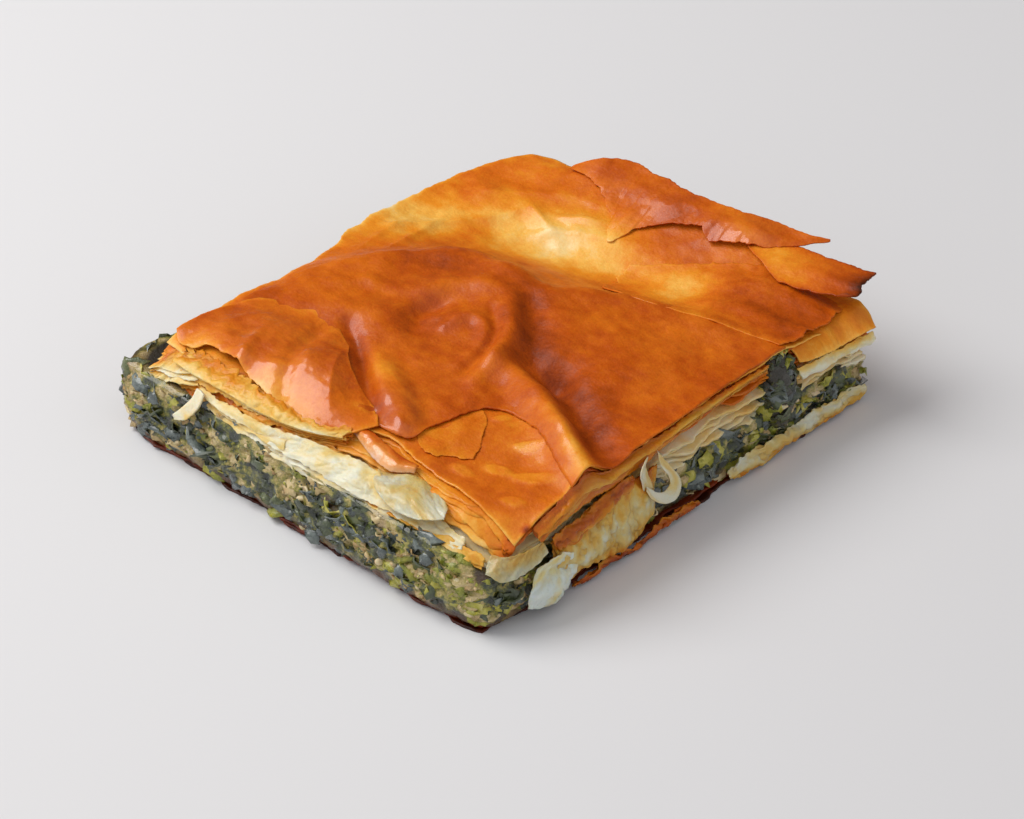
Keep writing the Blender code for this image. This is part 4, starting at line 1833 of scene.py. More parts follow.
@dataclass(frozen=True)
class Crust:
    """The flaky crust: a core, leaves whose edges show all round and buttered leaves on top."""

    form: SliceForm
    soft_edges: tuple[tuple[float, float], ...] = (
        (0.04, 1.0), (0.15, 0.9), (0.26, 0.9), (0.37, 0.7), (0.48, 0.5),
    )
    crisp_edges: tuple[float, ...] = (0.58, 0.66, 0.73, 0.79, 0.85, 0.90, 0.95)

    def lower_leaves(self) -> tuple[Leaf, ...]:
        """The sheet that covers the slice, the amber leaf at its right corner and the flap on its panel.

        Returns:
            The leaves, from the lowest to the highest.
        """
        ovals = (
            (25.8, -27.4, 2.2, 1.2, 0.9), (37.2, -31.1, 3.4, 1.5, 0.5), (37.0, -40.2, 3.6, 1.6, 0.2),
            (44.9, -37.6, 5.4, 2.0, 0.5), (31.5, -45.5, 3.4, 1.5, 0.0), (46.5, -46, 3.0, 1.5, 0.4),
        )
        flakes = tuple(Puff((x, y), (a, b), 0.28, turn, 5.0) for x, y, a, b, turn in ovals)
        faded = tuple(Puff((x, y), (a, b), -0.11, turn, 5.0) for x, y, a, b, turn in ovals)
        main = Leaf(
            "crust_sheet", CRUST_TOP_OUTLINE, 214, 226, 0.0, tear=(0.8, 0.5, 0.6, 0.9), relief=flakes,
            toast=(*faded, Toast((53.2, -49), 0.9, 0.5)),
            butter=(Toast((30, -44), 14, 0.3), Toast((-18, 38), 10, 0.5)), browning=0.56, seed=3,
        )
        flap = Leaf(
            "panel_flap",
            Outline(
                front=(
                    (17.4, -44.6), (20, -46.6), (23.9, -46.9), (26.2, -44.4), (28.4, -42.6), (30.7, -41.5),
                ),
                right=((30.7, -41.5), (27.9, -35.4), (24.6, -31), (21.4, -28.4)),
                back=((14.5, -40.5), (15.7, -35.4), (17.7, -30.8), (19.4, -29.0), (21.4, -28.4)),
                left=((17.4, -44.6), (15.6, -42.6), (14.5, -40.5)),
            ),
            60, 40, 0.12, tear=(1.3, 0.9, 0.2, 0.2), curl=(0.1, 0.2, 0.0, 0.0), curl_reach=1.4,
            relief=(Fold(((22, -45, 0.4), (24, -38, 0.4), (25, -34, 0.0)), 2.2),),
            toast=(Toast((24, -40), 4, -0.05),), browning=0.54, rim=-0.04, thickness=0.15, seed=43,
        )
        amber = Leaf(
            "amber_leaf",
            Outline(
                front=((42, 36, 25.4), (49, 36.6, 24.8), (53.6, 37, 23.6), (56, 37.4, 21.6)),
                right=((56, 37.4, 21.6), (57.2, 43, 21.2), (58.4, 51, 21.2), (60, 59.4, 22)),
                back=((40, 60, 26.5), (50, 60.8, 25.4), (56, 61, 24), (60, 59.4, 22)),
                left=((42, 36, 25.4), (41, 48, 26), (40, 60, 26.5)),
            ),
            90, 90, 0.0, tear=(0.4, 0.7, 0.8, 0.3), curl=(0.0, 0.0, 0.3, 0.0),
            relief=(Fold(((52, 36, 0.6), (54, 60, 0.8)), 3.0),), browning=0.48, share=0.3, rim=-0.12, seed=37,
        )
        return (main, amber, flap)

    def front_leaves(self) -> tuple[Leaf, ...]:
        """The leaf over the dome and the blistered one in front of it.

        Returns:
            The leaves, from the lowest to the highest.
        """
        upper = Leaf(
            "upper_leaf",
            Outline(
                front=(
                    (-46, -38), (-30, -40), (-8, -45), (4, -47), (11, -47.6), (16.5, -46.5), (17, -41),
                    (18.4, -36), (19.8, -30.6), (21.5, -27), (26, -25.2), (32, -25.8), (40, -29.4),
                    (48, -33.6), (54.5, -36.8),
                ),
                right=((54.5, -36.8), (54.6, -28), (54.4, -11), (54.4, 5), (54.2, 22), (54, 34.5)),
                back=(
                    (-46.5, -30), (-43, -12), (-37, -1), (-30, 9), (-20, 15.5), (-9, 15.5), (0, 16),
                    (7, 20.5), (14, 25), (24, 29), (40, 32), (54, 34.5),
                ),
                left=((-46, -38), (-46.6, -34), (-46.5, -30)),
            ),
            230, 110, 0.6, tear=(0.8, 0.5, 0.6, 0.5), curl=(0.2, 0.2, -0.4, 0.0),
            relief=(Puff((12, -43.5), (4.4, 3.2), 0.9, -0.4), Puff((12.5, -45.4), (2.6, 1.6), 0.7, -0.3)),
            toast=(Toast((14, -4), 10, 0.04),),
            butter=(
                Toast((13, -45), 5, 0.9), Toast((7, -41.5), 6, 0.8), Toast((45, -28), 8, 0.9),
                Toast((-12, -27), 4, 0.5),
                Fold(((4, 5, -0.4), (17, -8, -0.6), (38, -15, -0.6), (57, -25, -0.6)), 6.0),
            ),
            browning=0.66, rim=-0.06, seed=8,
        )
        blister = Leaf(
            "blister_leaf",
            Outline(
                front=(
                    (-50.0, -52.4), (-46.7, -54.8), (-42.6, -54.4), (-40.0, -52.4), (-35.5, -53.0),
                    (-27.7, -53.8), (-19, -55.0), (-9.5, -56.6), (-1, -56.4), (5, -54.0), (9, -48),
                ),
                right=((9, -48), (4, -44), (-6, -40), (-12, -36), (-17, -31)),
                back=((-47, -38), (-44, -33), (-37, -29), (-28, -27), (-17, -31)),
                left=((-50.0, -52.4), (-49.4, -47), (-47, -38)),
            ),
            170, 120, 0.5, tear=(0.7, 0.5, 0.5, 0.5), curl=(0.2, 0.3, -0.3, 0.2),
            relief=(
                Puff((-28, -43), (18, 11), 3.0, 0.1), Puff((-13, -43), (8, 8), 2.2, 0.1),
                Puff((-36, -44), (4.5, 3.5), -0.9),
                Fold(((-24, -34, -0.9), (-21, -44, -1.2), (-15, -53, -0.5)), 2.0),
                Fold(((-34, -40, 0.2), (-31, -48, 0.9), (-27, -57, 0.5)), 1.8),
                Fold(((-14, -36, 0.4), (-9, -44, 0.9), (-3, -51, 0.6)), 1.6, FoldShape.CREASED),
                Puff((-4, -49), (6, 4), 1.0), Puff((-21, -49), (3.0, 2.2), 0.7, 0.5),
                Puff((-30, -52), (3.6, 2.2), 0.7, 0.2),
            ),
            toast=(Toast((-20, -55), 8, -0.12), Toast((-42, -52), 8, -0.12), Toast((-24, -46), 9, 0.05)),
            butter=(Toast((-22, -46), 18, 1.0),), browning=0.62, share=0.4, rim=-0.16, seed=13,
        )
        return (upper, blister)

    def back_leaves(self) -> tuple[Leaf, ...]:
        """The tongue, the lifted tip and the wavy leaf along the back.

        Returns:
            The leaves, from the lowest to the highest.
        """
        tongue = Leaf(
            "tongue_leaf",
            Outline(
                front=((6, 27.4), (15, 25), (24, 26.4), (33, 28.8), (42, 31.0), (53, 33.4)),
                right=((53, 33.4), (53.4, 40), (53.8, 47), (53.4, 52), (52.6, 57)),
                back=((3, 40), (9, 43), (16, 47.4), (24, 52), (34, 56), (52.6, 57)),
                left=((6, 27.4), (4.0, 34), (3, 40)),
            ),
            150, 90, 0.4, tear=(0.2, 1.4, 1.2, 2.6), curl=(0.0, 0.5, 0.3, 0.2), curl_reach=4.0,
            relief=(
                Fold(((16, 40, 0.6), (26, 46, 1.5), (38, 50, 1.7), (54, 52, 1.6)), 5.0),
                Fold(((20, 36, 0.2), (34, 39, 0.8), (54, 42, 1.4)), 2.8),
            ),
            toast=(
                Toast((14, 36), 9, -0.20), Toast((22, 42), 8, -0.16), Toast((30, 33), 5, -0.12),
                Toast((38, 42), 8, 0.08), Toast((50, 42), 9, 0.16),
            ),
            browning=0.62, rim=-0.10, seed=19,
        )
        tip = Leaf(
            "tip_leaf",
            Outline(
                front=((38, 51, 28.2), (46, 52.5, 28.8), (52, 53.4, 29.4), (54.4, 55, 29.8)),
                right=(
                    (54.4, 55, 29.8), (56.4, 56, 30), (55.2, 59, 30.2), (55.2, 61.2, 30.2),
                    (54.6, 65.4, 30.2),
                ),
                back=(
                    (24, 57, 28.8), (30, 60.6, 29.6), (36, 63.4, 30), (43, 64, 30), (49, 64.6, 30),
                    (54.6, 65.4, 30.2),
                ),
                left=((38, 51, 28.2), (31, 54, 28.4), (24, 57, 28.8)),
            ),
            100, 60, 0.2, tear=(0.8, 1.2, 1.0, 0.4), curl=(0.2, 0.4, 0.4, 0.0),
            relief=(Fold(((30, 56, 0.4), (54, 60, 1.0)), 3.4),),
            toast=(Toast((56, 60), 7, 0.30), Toast((30, 56), 9, -0.15)), browning=0.58, rim=0.12, seed=23,
        )
        rear = Leaf(
            "rear_leaf",
            Outline(
                front=(
                    (-29, 55, 27.6), (-18, 53.4, 27.2), (-10.4, 48, 25.4), (-5.4, 42.4, 23.7),
                    (-2.4, 47.2, 25.2), (2.8, 51.6, 27.0), (11.6, 55.0, 28.6), (14.8, 52.8, 27.6),
                    (23.6, 56.4, 28.6), (29.2, 59.6, 29.3), (34, 62.8, 30.2), (39, 68, 31.0),
                ),
                right=((39, 68, 31.0), (39, 68.3, 31.2), (38.8, 68.6, 31.4)),
                back=(
                    (-29, 56.4, 28.6), (-23.4, 60.5, 30.8), (-19, 63.4, 31.4), (-9, 63, 31.4), (2, 62, 31.6),
                    (13, 63.2, 31.6), (24, 65.6, 31.5), (34, 66.8, 31.5), (38.8, 68.6, 31.4),
                ),
                left=((-29, 55, 28.4), (-29, 55.7, 28.5), (-29, 56.4, 28.6)),
            ),
            190, 60, 0.2, tear=(1.3, 0.2, 1.1, 0.2), curl=(0.3, 0.2, 0.1, 0.0),
            relief=(
                Fold(((-22, 58, 0.5), (0, 57, 1.0), (24, 60.5, 0.9)), 4.5),
                Puff((18, 57.5), (8, 3.4), 0.9, 0.3),
            ),
            toast=(Toast((21, 58), 5, -0.14), Toast((-26, 56), 6, -0.1), Toast((-4, 44), 6, -0.18)),
            butter=(Toast((22, 58), 9, 0.9), Toast((-10, 54), 9, 0.4)), browning=0.66, rim=-0.06, seed=29,
        )
        return (tongue, tip, rear)

    def front_sheets(self) -> tuple[Drape, ...]:
        """The pale sheets and golden flakes that show under the crisp leaves along the front.

        Returns:
            The sheets.
        """
        return (
            Drape(
                "front_sheet_left",
                (
                    ((-33, -59.8, 21.6), (-26, -60.4, 21.8), (-17, -60.6, 22.0), (-6, -59.8, 22.4)),
                    ((-34, -61.2, 21.0), (-26, -61.8, 20.2), (-17, -62.0, 20.4), (-5.4, -61.6, 20.8)),
                    ((-34, -62.2, 20.6), (-26, -63.0, 19.0), (-17, -63.4, 18.2), (-4.6, -62.8, 18.0)),
                ),
                columns=120, browning=(0.14, 0.03, 0.0), ripple=0.7, ripple_pitch=4.0, streak=2.6, tear=0.8,
                layers=3, step=0.8, seed=411,
            ),
            Drape(
                "front_sheet_middle",
                (
                    (
                        (-7, -59.8, 22.4), (4, -57.8, 22.8), (16, -56.4, 22.6), (30, -56.8, 21.4),
                        (44, -57.4, 18.8),
                    ),
                    (
                        (-9, -61.6, 20.6), (6, -61.2, 20.6), (20, -60.6, 20.0), (32, -60.2, 18.6),
                        (45, -59.6, 17.2),
                    ),
                    (
                        (-12, -63.8, 17.6), (6, -63.8, 17.4), (20, -63.4, 17.2), (32, -62.8, 16.8),
                        (45, -61.4, 15.8),
                    ),
                ),
                columns=160, browning=(0.14, 0.05, 0.03), ripple=0.8, ripple_pitch=5.0, streak=1.8, tear=0.9,
                layers=3, step=0.8, seed=412,
            ),
            Drape(
                "golden_flakes",
                (
                    (
                        (-45, -53.6, 24.6), (-38, -53, 25.4), (-27, -54, 25.8), (-15, -55, 25.8),
                        (-3, -55.0, 25.6), (6, -51.6, 25.2),
                    ),
                    (
                        (-45, -58.0, 22.8), (-38, -58.8, 23.2), (-27, -59.4, 23.9), (-15, -59.6, 24.1),
                        (-3, -58.4, 24.4), (7, -54.2, 24.6),
                    ),
                    (
                        (-45, -61.4, 19.0), (-39, -62.4, 18.6), (-27, -63.2, 19.4), (-15, -63.2, 19.8),
                        (-3, -61.6, 21.4), (8, -56.4, 23.0),
                    ),
                ),
                columns=190, rows=30, browning=(0.42, 0.34, 0.2), ripple=0.8, ripple_pitch=4.0, streak=3.0,
                tear=2.2, layers=6, spacing=0.45, step=1.2, seed=419,
            ),
            Drape(
                "left_tail",
                (
                    ((-50.0, -60.4, 19.2), (-48.2, -57.0, 22.2), (-46.2, -54.4, 23.8), (-42, -53.6, 24.6)),
                    ((-50.4, -61.0, 18.8), (-46.6, -59.4, 20.6), (-43, -57.8, 22.2), (-38, -56.8, 23.4)),
                    ((-50.8, -61.4, 18.4), (-45.0, -61.8, 19.0), (-40.4, -61.6, 20.4), (-34.6, -60.4, 22.0)),
                ),
                columns=70, rows=30, browning=(0.44, 0.30, 0.08), ripple=0.8, ripple_pitch=3.4, tear=0.8,
                layers=3, step=1.0, seed=413,
            ),
            Drape(
                "shard",
                (
                    ((-33.0, -62.2, 22.6), (-33.8, -63.2, 20.2), (-36.8, -64.4, 16.2), (-39.0, -64.6, 13.8)),
                    ((-30.4, -62.6, 22.4), (-30.6, -63.8, 19.8), (-33.8, -65.0, 15.2), (-38.0, -65.0, 13.0)),
                ),
                columns=30, rows=10, browning=(0.0, 0.02), ripple=0.2, ripple_pitch=2.4, streak=1.0,
                tear=0.15, thickness=0.5, seed=414,
            ),
            Drape(
                "front_bulge",
                (
                    (
                        (16.0, -55.4, 21.6), (21.2, -54.6, 22.6), (25.2, -53.0, 23.0), (30.4, -53.2, 22.4),
                        (37.0, -55.4, 21.8),
                    ),
                    (
                        (18.8, -59.4, 22.2), (24.2, -60.4, 22.8), (28.8, -60.2, 23.0), (33.8, -58.8, 22.4),
                        (38.2, -57.4, 22.2),
                    ),
                    (
                        (22.2, -61.6, 21.6), (26.7, -62.4, 20.6), (32.3, -62.4, 20.8), (36.4, -61.0, 21.4),
                        (39.2, -59.0, 21.8),
                    ),
                ),
                browning=(0.20, 0.10, 0.04), ripple=0.6, ripple_pitch=4.0, streak=1.4, tear=0.4, seed=415,
            ),
            Drape(
                "yellow_layer",
                (
                    (
                        (16, -58.8, 18.8), (26, -58.8, 19.0), (36, -58.6, 18.8), (44, -58.2, 18.0),
                        (50, -57.4, 17.0),
                    ),
                    (
                        (15, -62.2, 17.8), (26, -62.4, 17.8), (36, -62.0, 17.4), (44.4, -61.2, 16.4),
                        (50.6, -59.6, 15.2),
                    ),
                ),
                columns=110, rows=16, browning=(0.34, 0.30), ripple=0.5, ripple_pitch=3.0, tear=0.8, layers=2,
                seed=416,
            ),
        )

    def tray_sheets(self) -> tuple[Drape, ...]:
        """The sheets that show under the crisp leaves on the tray side.

        Returns:
            The sheets.
        """
        return (
            Drape(
                "tip_tongue",
                (
                    ((50.0, -56.6, 17.6), (53.0, -55.2, 17.6), (54.8, -50.6, 17.8), (55.4, -46.4, 18.2)),
                    ((50.6, -58.8, 15.8), (54.0, -57.4, 15.6), (55.8, -52.2, 16.0), (56.4, -46.2, 17.0)),
                    ((51.6, -60.0, 14.8), (55.2, -58.6, 13.8), (57.2, -53.2, 14.2), (57.4, -46.6, 16.0)),
                ),
                browning=(0.2, 0.12, 0.02), ripple=0.5, ripple_pitch=3.6, streak=1.0, tear=0.4, seed=417,
            ),
            Drape(
                "amber_band",
                (
                    (
                        (53.2, -48, 21.0), (53.4, -42, 23.4), (53.4, -36, 25.6), (53.4, -31, 26.8),
                        (53.6, -25, 24.4), (53.6, -15, 24.8), (53.6, -2, 25.2), (53.8, 14, 25.5),
                        (54, 28, 25.6),
                    ),
                    (
                        (55.4, -48, 19.2), (55.8, -42, 21.6), (55.8, -36, 23.4), (55.8, -31, 24.2),
                        (55.8, -25, 22.6), (55.8, -15, 23.2), (55.6, -2, 24.1), (55.4, 14, 24.8),
                        (55.2, 28, 25.0),
                    ),
                    (
                        (55.6, -48, 17.2), (56.0, -42, 19.4), (56.2, -36, 20.8), (56.2, -31, 21.0),
                        (56.2, -25, 20.4), (56.2, -15, 21.0), (56.0, -2, 22.6), (55.6, 14, 23.8),
                        (55.4, 28, 24.2),
                    ),
                ),
                columns=220, rows=24, browning=(0.54, 0.46, 0.30), ripple=0.5, ripple_pitch=3.4, streak=4.0,
                tear=1.0, layers=3, step=0.9, seed=422,
            ),
            Drape(
                "right_sheet",
                (
                    ((55.6, 36, 21.0), (56.6, 42, 20.8), (57.6, 50, 20.8), (59.2, 59.4, 21.4)),
                    ((56.6, 36.6, 18.6), (57.4, 43, 18.6), (58.4, 51, 18.8), (59.8, 60, 19.6)),
                    ((56.6, 37.5, 16.6), (57.4, 43.6, 16.8), (58.4, 51.6, 17.2), (59.6, 60.6, 18.4)),
                ),
                browning=(0.26, 0.10, 0.04), ripple=0.8, ripple_pitch=4.4, streak=1.4, tear=0.9, layers=2,
                seed=418,
            ),
        )

    def lip(self) -> Drape:
        """The glossy curled edge that hangs out at the front; its pale pinkish colour is partly a painted
        highlight.

        Returns:
            The sheet.
        """
        return Drape(
            "curled_lip",
            (
                (
                    (2.6, -49.8, 24.1), (6.2, -49.2, 24.5), (11.6, -50.1, 24.6), (19.2, -51.6, 24.5),
                    (24.6, -51.4, 24.2),
                ),
                (
                    (3.0, -50.8, 24.4), (8.4, -51.6, 24.9), (14.0, -53.1, 25.0), (20.4, -54.4, 24.9),
                    (25.0, -52.6, 24.6),
                ),
                (
                    (3.0, -50.9, 23.5), (10.6, -53.8, 23.4), (15.6, -55.3, 23.0), (20.2, -55.8, 23.0),
                    (24.8, -52.8, 23.6),
                ),
            ),
            columns=70, rows=24, browning=(0.62, 0.40, 0.10), ripple=0.35, ripple_pitch=3.6, streak=1.6,
            tear=0.5, seed=421,
        )

    def core(self, plan: SlicePlan) -> bpy.types.Object:
        """Makes the closed body of packed leaves behind the edges.

        Args:
            plan: Where the plan lies in the frame.

        Returns:
            The body.
        """
        return Block(
            "packed_leaves", CRUST_TOP_OUTLINE, lambda x, y: self.form.between(x, y, 0.04),
            lambda x, y: self.form.crust_top(x, y) - 3.0, inset=5.5, browning=0.15,
        ).build(plan)

    def edges(self) -> list[tuple[EdgeLeaf, bool]]:
        """The leaves whose torn edges show all round.

        Returns:
            The leaves from the lowest to the highest, each with whether it is a soft one.
        """
        kinds = [(share, thick, True) for share, thick in self.soft_edges]
        kinds += [(share, 0.32, False) for share in self.crisp_edges]
        made = []
        for number, (share, thick, soft) in enumerate(kinds):
            leaf = EdgeLeaf(
                f"edge_leaf_{number + 1}",
                CRUST_FOOT_OUTLINE,
                CRUST_TOP_OUTLINE,
                share**0.9 if soft else share**2.2,
                lambda x, y, share=share: self.form.between(x, y, share),
                ceiling=lambda x, y: self.form.crust_top(x, y) - 0.45,
                browning=0.03 + 0.14 * share if soft else 0.10 + 0.45 * share,
                # Crisp leaves: paler torn edges, partly painted highlight; darker on the tray side, partly
                # painted shade
                rim_browning_and_light=0.0 if soft else -0.08,
                tray_browning_and_shade=0.02 if soft else 0.22,
                wave=1.5 if soft else 0.9,
                tear=1.3 if soft else 1.2,
                gaps=1.6 if soft else 3.0,
                droop=0.8 if soft else 0.4,
                thickness=thick,
                seed=100 + 7 * number,
            )
            made.append((leaf, soft))
        return made

    @staticmethod
    def finishes(effects: Effects) -> dict[str, bpy.types.Material]:
        """Builds the crust's materials.

        Args:
            effects: The shared node groups.

        Returns:
            The materials by their names.
        """
        thin = {"see_through_reach": 2.0}
        looks = (
            PastryFinish("crisp_pastry"),
            # The curled lip's pinkish tint is a painted highlight on top of its real gloss
            PastryFinish("glossy_pastry_with_painted_highlight", coat=1.0, shine=0.5, roughness=0.3, tint=(240, 200, 190)),
            PastryFinish("pale_pastry", 0.24, 0.42, 0.3, see_through=0.3, tint=(246, 242, 230), **thin),
            PastryFinish("wet_pastry", 0.1, 0.32, 0.8, see_through=0.5, tint=(190, 192, 182), **thin),
            PastryFinish("amber_pastry", 0.2, 0.36, 0.6, see_through=0.35, tint=(226, 216, 176), **thin),
            PastryFinish("milky_pastry", 0.15, 0.36, 0.6, see_through=0.4, tint=(220, 220, 212), **thin),
        )
        return {look.name: look.material(effects) for look in looks}

    def build(self, plan: SlicePlan, effects: Effects) -> None:
        """Builds the whole crust.

        Args:
            plan: Where the plan lies in the frame.
            effects: The shared node groups.
        """
        finish = self.finishes(effects)
        crisp, pale = finish["crisp_pastry"], finish["pale_pastry"]
        settle(self.core(plan), Slot.CRUST, pale, Slot.CRUST)
        for leaf, soft in self.edges():
            settle(leaf.build(plan), Slot.CRUST, pale if soft else crisp)
        for leaf in (*self.lower_leaves(), *self.front_leaves(), *self.back_leaves()):
            settle(leaf.build(self.form, plan), Slot.CRUST, crisp)
        special = {
            "curled_lip": finish["glossy_pastry_with_painted_highlight"],
            "tip_tongue": finish["wet_pastry"],
            "amber_band": finish["amber_pastry"],
            "front_bulge": finish["milky_pastry"],
        }
        for sheet in (self.lip(), *self.front_sheets(), *self.tray_sheets()):
            settle(sheet.build(plan), Slot.CRUST, special.get(sheet.name, pale))


@dataclass(frozen=True)
class Base:
    """The baked leaves under the filling."""

    top: float = 1.7

    def build(self, plan: SlicePlan, effects: Effects) -> None:
        """Builds the slab and the leaves round it.

        Args:
            plan: Where the plan lies in the frame.
            effects: The shared node groups.
        """
        outline = Outline(
            front=(
                (-56.4, -61.2), (-48, -62.4), (-30, -62.5), (0, -62.8), (30, -63.0), (46, -62.2), (51, -60.4),
            ),
            right=((51, -60.4), (53.0, -50), (53.6, -38), (54.0, -18), (54.8, 0), (55.4, 60)),
            back=((-55, 60.6), (0, 62.4), (55.4, 60)),
            left=((-56.4, -61.2), (-58.2, -54), (-57.4, -40), (-55.6, -20), (-55.2, 20), (-55, 60.6)),
        )
        baked = PastryFinish(
            "baked_base", mottle=0.4, roughness=0.4, coat=0.4, tint=(196, 176, 160)
        ).material(effects)
        slab = Block(
            "base_slab", outline, lambda x, y: 0 * x + 0.05, lambda x, y: 0 * x + self.top, 1.0,
            browning=0.85,
        )
        settle(slab.build(plan), Slot.BASE, baked, Slot.BASE)
        for number, height in enumerate((0.5, 1.1, 1.7)):
            leaf = EdgeLeaf(
                f"base_leaf_{number + 1}", outline, outline, 0.5, lambda x, y, height=height: 0 * x + height,
                tear=1.3, gaps=2.6, wave=0.35, droop=0.0, browning=0.98 - 0.06 * number, thickness=0.45,
                seed=300 + number,
            )
            settle(leaf.build(plan), Slot.BASE, baked)


@dataclass(frozen=True)
class TrayEdge:
    """The soft pastry folded down against the tray: a white flap, folds, ribbons and a browned ridge."""

    def folds(self) -> tuple[Drape, ...]:
        """The folded sheet, the white flap at its end and the browned ridge over it.

        Returns:
            The sheets.
        """
        return (
            Drape(
                "side_fold",
                (
                    (
                        (54.8, -44, 16.6), (55.0, -38, 16.4), (55.2, -31, 17.6), (55.2, -25, 19.2),
                        (55.2, -19, 19.4), (55.2, -10, 19),
                    ),
                    (
                        (56.6, -44, 12), (57.0, -36, 12), (56.8, -28, 13.5), (56.6, -22, 13), (56.4, -16, 13),
                        (55.8, -10.6, 14),
                    ),
                    (
                        (56.6, -43, 8), (57.4, -35, 7.5), (57.0, -27, 8), (57.0, -21, 6.6), (56.6, -16, 7),
                        (56.0, -11, 10.4),
                    ),
                    (
                        (55.8, -42, 3), (56.2, -35, 4.6), (56.0, -28, 3.6), (56.4, -22, 2.4),
                        (56.2, -16, 3.2), (55.6, -12, 7),
                    ),
                ),
                columns=110, rows=60, browning=(0.52, 0.24, 0.12, 0.34), ripple=1.0, ripple_pitch=6.5,
                streak=0.6, tear=1.0, layers=2, seed=401,
            ),
            Drape(
                "white_flap",
                (
                    (
                        (56.2, -49.0, 13.0), (57.8, -45.8, 14.4), (58.2, -42.6, 14.6), (57.6, -39.6, 12.6),
                        (56.8, -37.4, 10.4),
                    ),
                    (
                        (56.6, -51.0, 9.8), (56.8, -47.0, 10.6), (56.6, -43.8, 10.2), (56.8, -40.6, 9.4),
                        (56.8, -37.6, 8.6),
                    ),
                    (
                        (57.0, -52.6, 7.0), (58.6, -48.8, 6.6), (58.8, -45.2, 6.0), (58.4, -41.6, 5.8),
                        (57.2, -38.2, 6.8),
                    ),
                    (
                        (56.6, -52.8, 4.2), (57.4, -49.6, 3.2), (57.6, -46.4, 2.6), (57.2, -42.8, 2.4),
                        (56.8, -39.4, 4.6),
                    ),
                ),
                browning=(0.04, 0.08, 0.0, 0.04), ripple=0.6, ripple_pitch=3.0, streak=1.0, tear=0.5,
                seed=402,
            ),
            Drape(
                "browned_ridge",
                (
                    (
                        (55.0, -44, 17.6), (55.0, -38, 18.2), (55.0, -31, 19.0), (55.0, -25, 20.6),
                        (55.0, -18, 20.4),
                    ),
                    (
                        (56.2, -44, 16.0), (56.6, -38, 16.6), (56.4, -31, 17.4), (56.2, -25, 18.8),
                        (55.8, -18, 19.0),
                    ),
                    (
                        (56.4, -43.5, 13.6), (57.2, -38, 13.8), (57.0, -32, 14.8), (56.8, -26, 16.0),
                        (56.2, -19, 16.8),
                    ),
                ),
                columns=90, rows=24, browning=(0.50, 0.62, 0.36), ripple=0.8, ripple_pitch=2.6, streak=1.6,
                tear=1.0, layers=2, seed=403,
            ),
        )

    def ribbons(self) -> tuple[Drape, ...]:
        """The curled ribbons that came loose from the crust.

        Returns:
            The sheets.
        """
        return (
            Drape(
                "curl_right",
                (
                    (
                        (56, -11.2, 23.2), (57, -8.9, 19.3), (58, -6.2, 15.0), (59, -6.3, 12.2),
                        (59, -7.8, 9.8), (59, -11.8, 10.6), (58, -14.7, 12.8), (57.4, -16.2, 15.6),
                    ),
                    (
                        (56, -11.2, 23.0), (56.8, -10.9, 19.3), (57.4, -9.3, 16.4), (57.8, -8.8, 13.9),
                        (57.6, -10.1, 12.7), (57.6, -12.1, 13.2), (57.4, -13.6, 14.4), (57, -15.4, 16.4),
                    ),
                ),
                columns=80, rows=14, browning=(0.10, 0.05), ripple=0.2, ripple_pitch=3, tear=0.15, seed=404,
            ),
            Drape(
                "curl_left",
                (
                    (
                        (56.2, -14.2, 23.0), (57.4, -17.2, 22.6), (57.8, -18.4, 21.2), (57.6, -17.4, 18.4),
                        (57.0, -16.4, 15.4),
                    ),
                    (
                        (56.0, -13.8, 22.8), (56.4, -14.9, 21.0), (56.6, -14.6, 18.8), (56.6, -13.4, 16.4),
                        (56.6, -12.6, 14.2),
                    ),
                ),
                columns=50, rows=16, browning=(0.08, 0.14), ripple=0.25, ripple_pitch=3, tear=0.2, seed=405,
            ),
        )

    def rims(self) -> tuple[Drape, ...]:
        """The low sheets along the tray edge's foot.

        Returns:
            The sheets.
        """
        return (
            Drape(
                "baked_rim",
                (
                    ((55.2, -38, 2.4), (55.8, -28, 3.2), (55.8, -18, 2.6), (55.6, -8, 3.6), (55.4, 4, 3.0)),
                    ((56.4, -38, 1.4), (57.0, -28, 1.8), (57.0, -18, 1.4), (56.8, -8, 1.8), (56.4, 4, 1.6)),
                    ((55.6, -38, 0.7), (56.0, -28, 0.7), (56.0, -18, 0.7), (55.8, -8, 0.7), (55.4, 4, 0.7)),
                ),
                columns=120, rows=20, browning=(0.50, 0.66, 0.84), ripple=0.9, ripple_pitch=3.0, streak=1.4,
                tear=1.8, layers=2, seed=406,
            ),
            Drape(
                "pale_rim",
                (
                    ((55.4, 12, 4.4), (56.0, 20, 6.8), (56.0, 32, 6.0), (56.2, 46, 6.6), (56.4, 60.6, 5.4)),
                    ((56.6, 13, 2.8), (57.4, 22, 4.0), (57.2, 34, 3.6), (57.4, 47, 3.8), (57.2, 61, 3.4)),
                    ((56.0, 14, 0.9), (56.6, 23, 0.8), (56.6, 35, 0.8), (56.6, 47, 0.8), (56.6, 60.6, 0.8)),
                ),
                columns=120, rows=30, browning=(0.10, 0.14, 0.36), ripple=0.9, ripple_pitch=3.6, streak=1.6,
                tear=1.6, layers=2, seed=407,
            ),
        )

    def build(self, plan: SlicePlan, effects: Effects) -> None:
        """Builds the sheets.

        Args:
            plan: Where the plan lies in the frame.
            effects: The shared node groups.
        """
        soft = PastryFinish(
            "soft_pastry", mottle=0.2, roughness=0.4, coat=0.4, see_through=0.4, see_through_reach=2.5,
            tint=(232, 230, 222),
        ).material(effects)
        white = PastryFinish(
            "white_pastry", mottle=0.1, roughness=0.36, coat=0.6, see_through=0.5, see_through_reach=2.5,
            tint=(244, 250, 252),
        ).material(effects)
        for drape in (*self.folds(), *self.ribbons(), *self.rims()):
            finish = white if drape.name == "white_flap" else soft
            settle(drape.build(plan), Slot.SIDE, finish, *((Slot.SIDE,) if drape.name == "side_fold" else ()))


# ------------------------------------------------------------------------------
# The stage
# ------------------------------------------------------------------------------


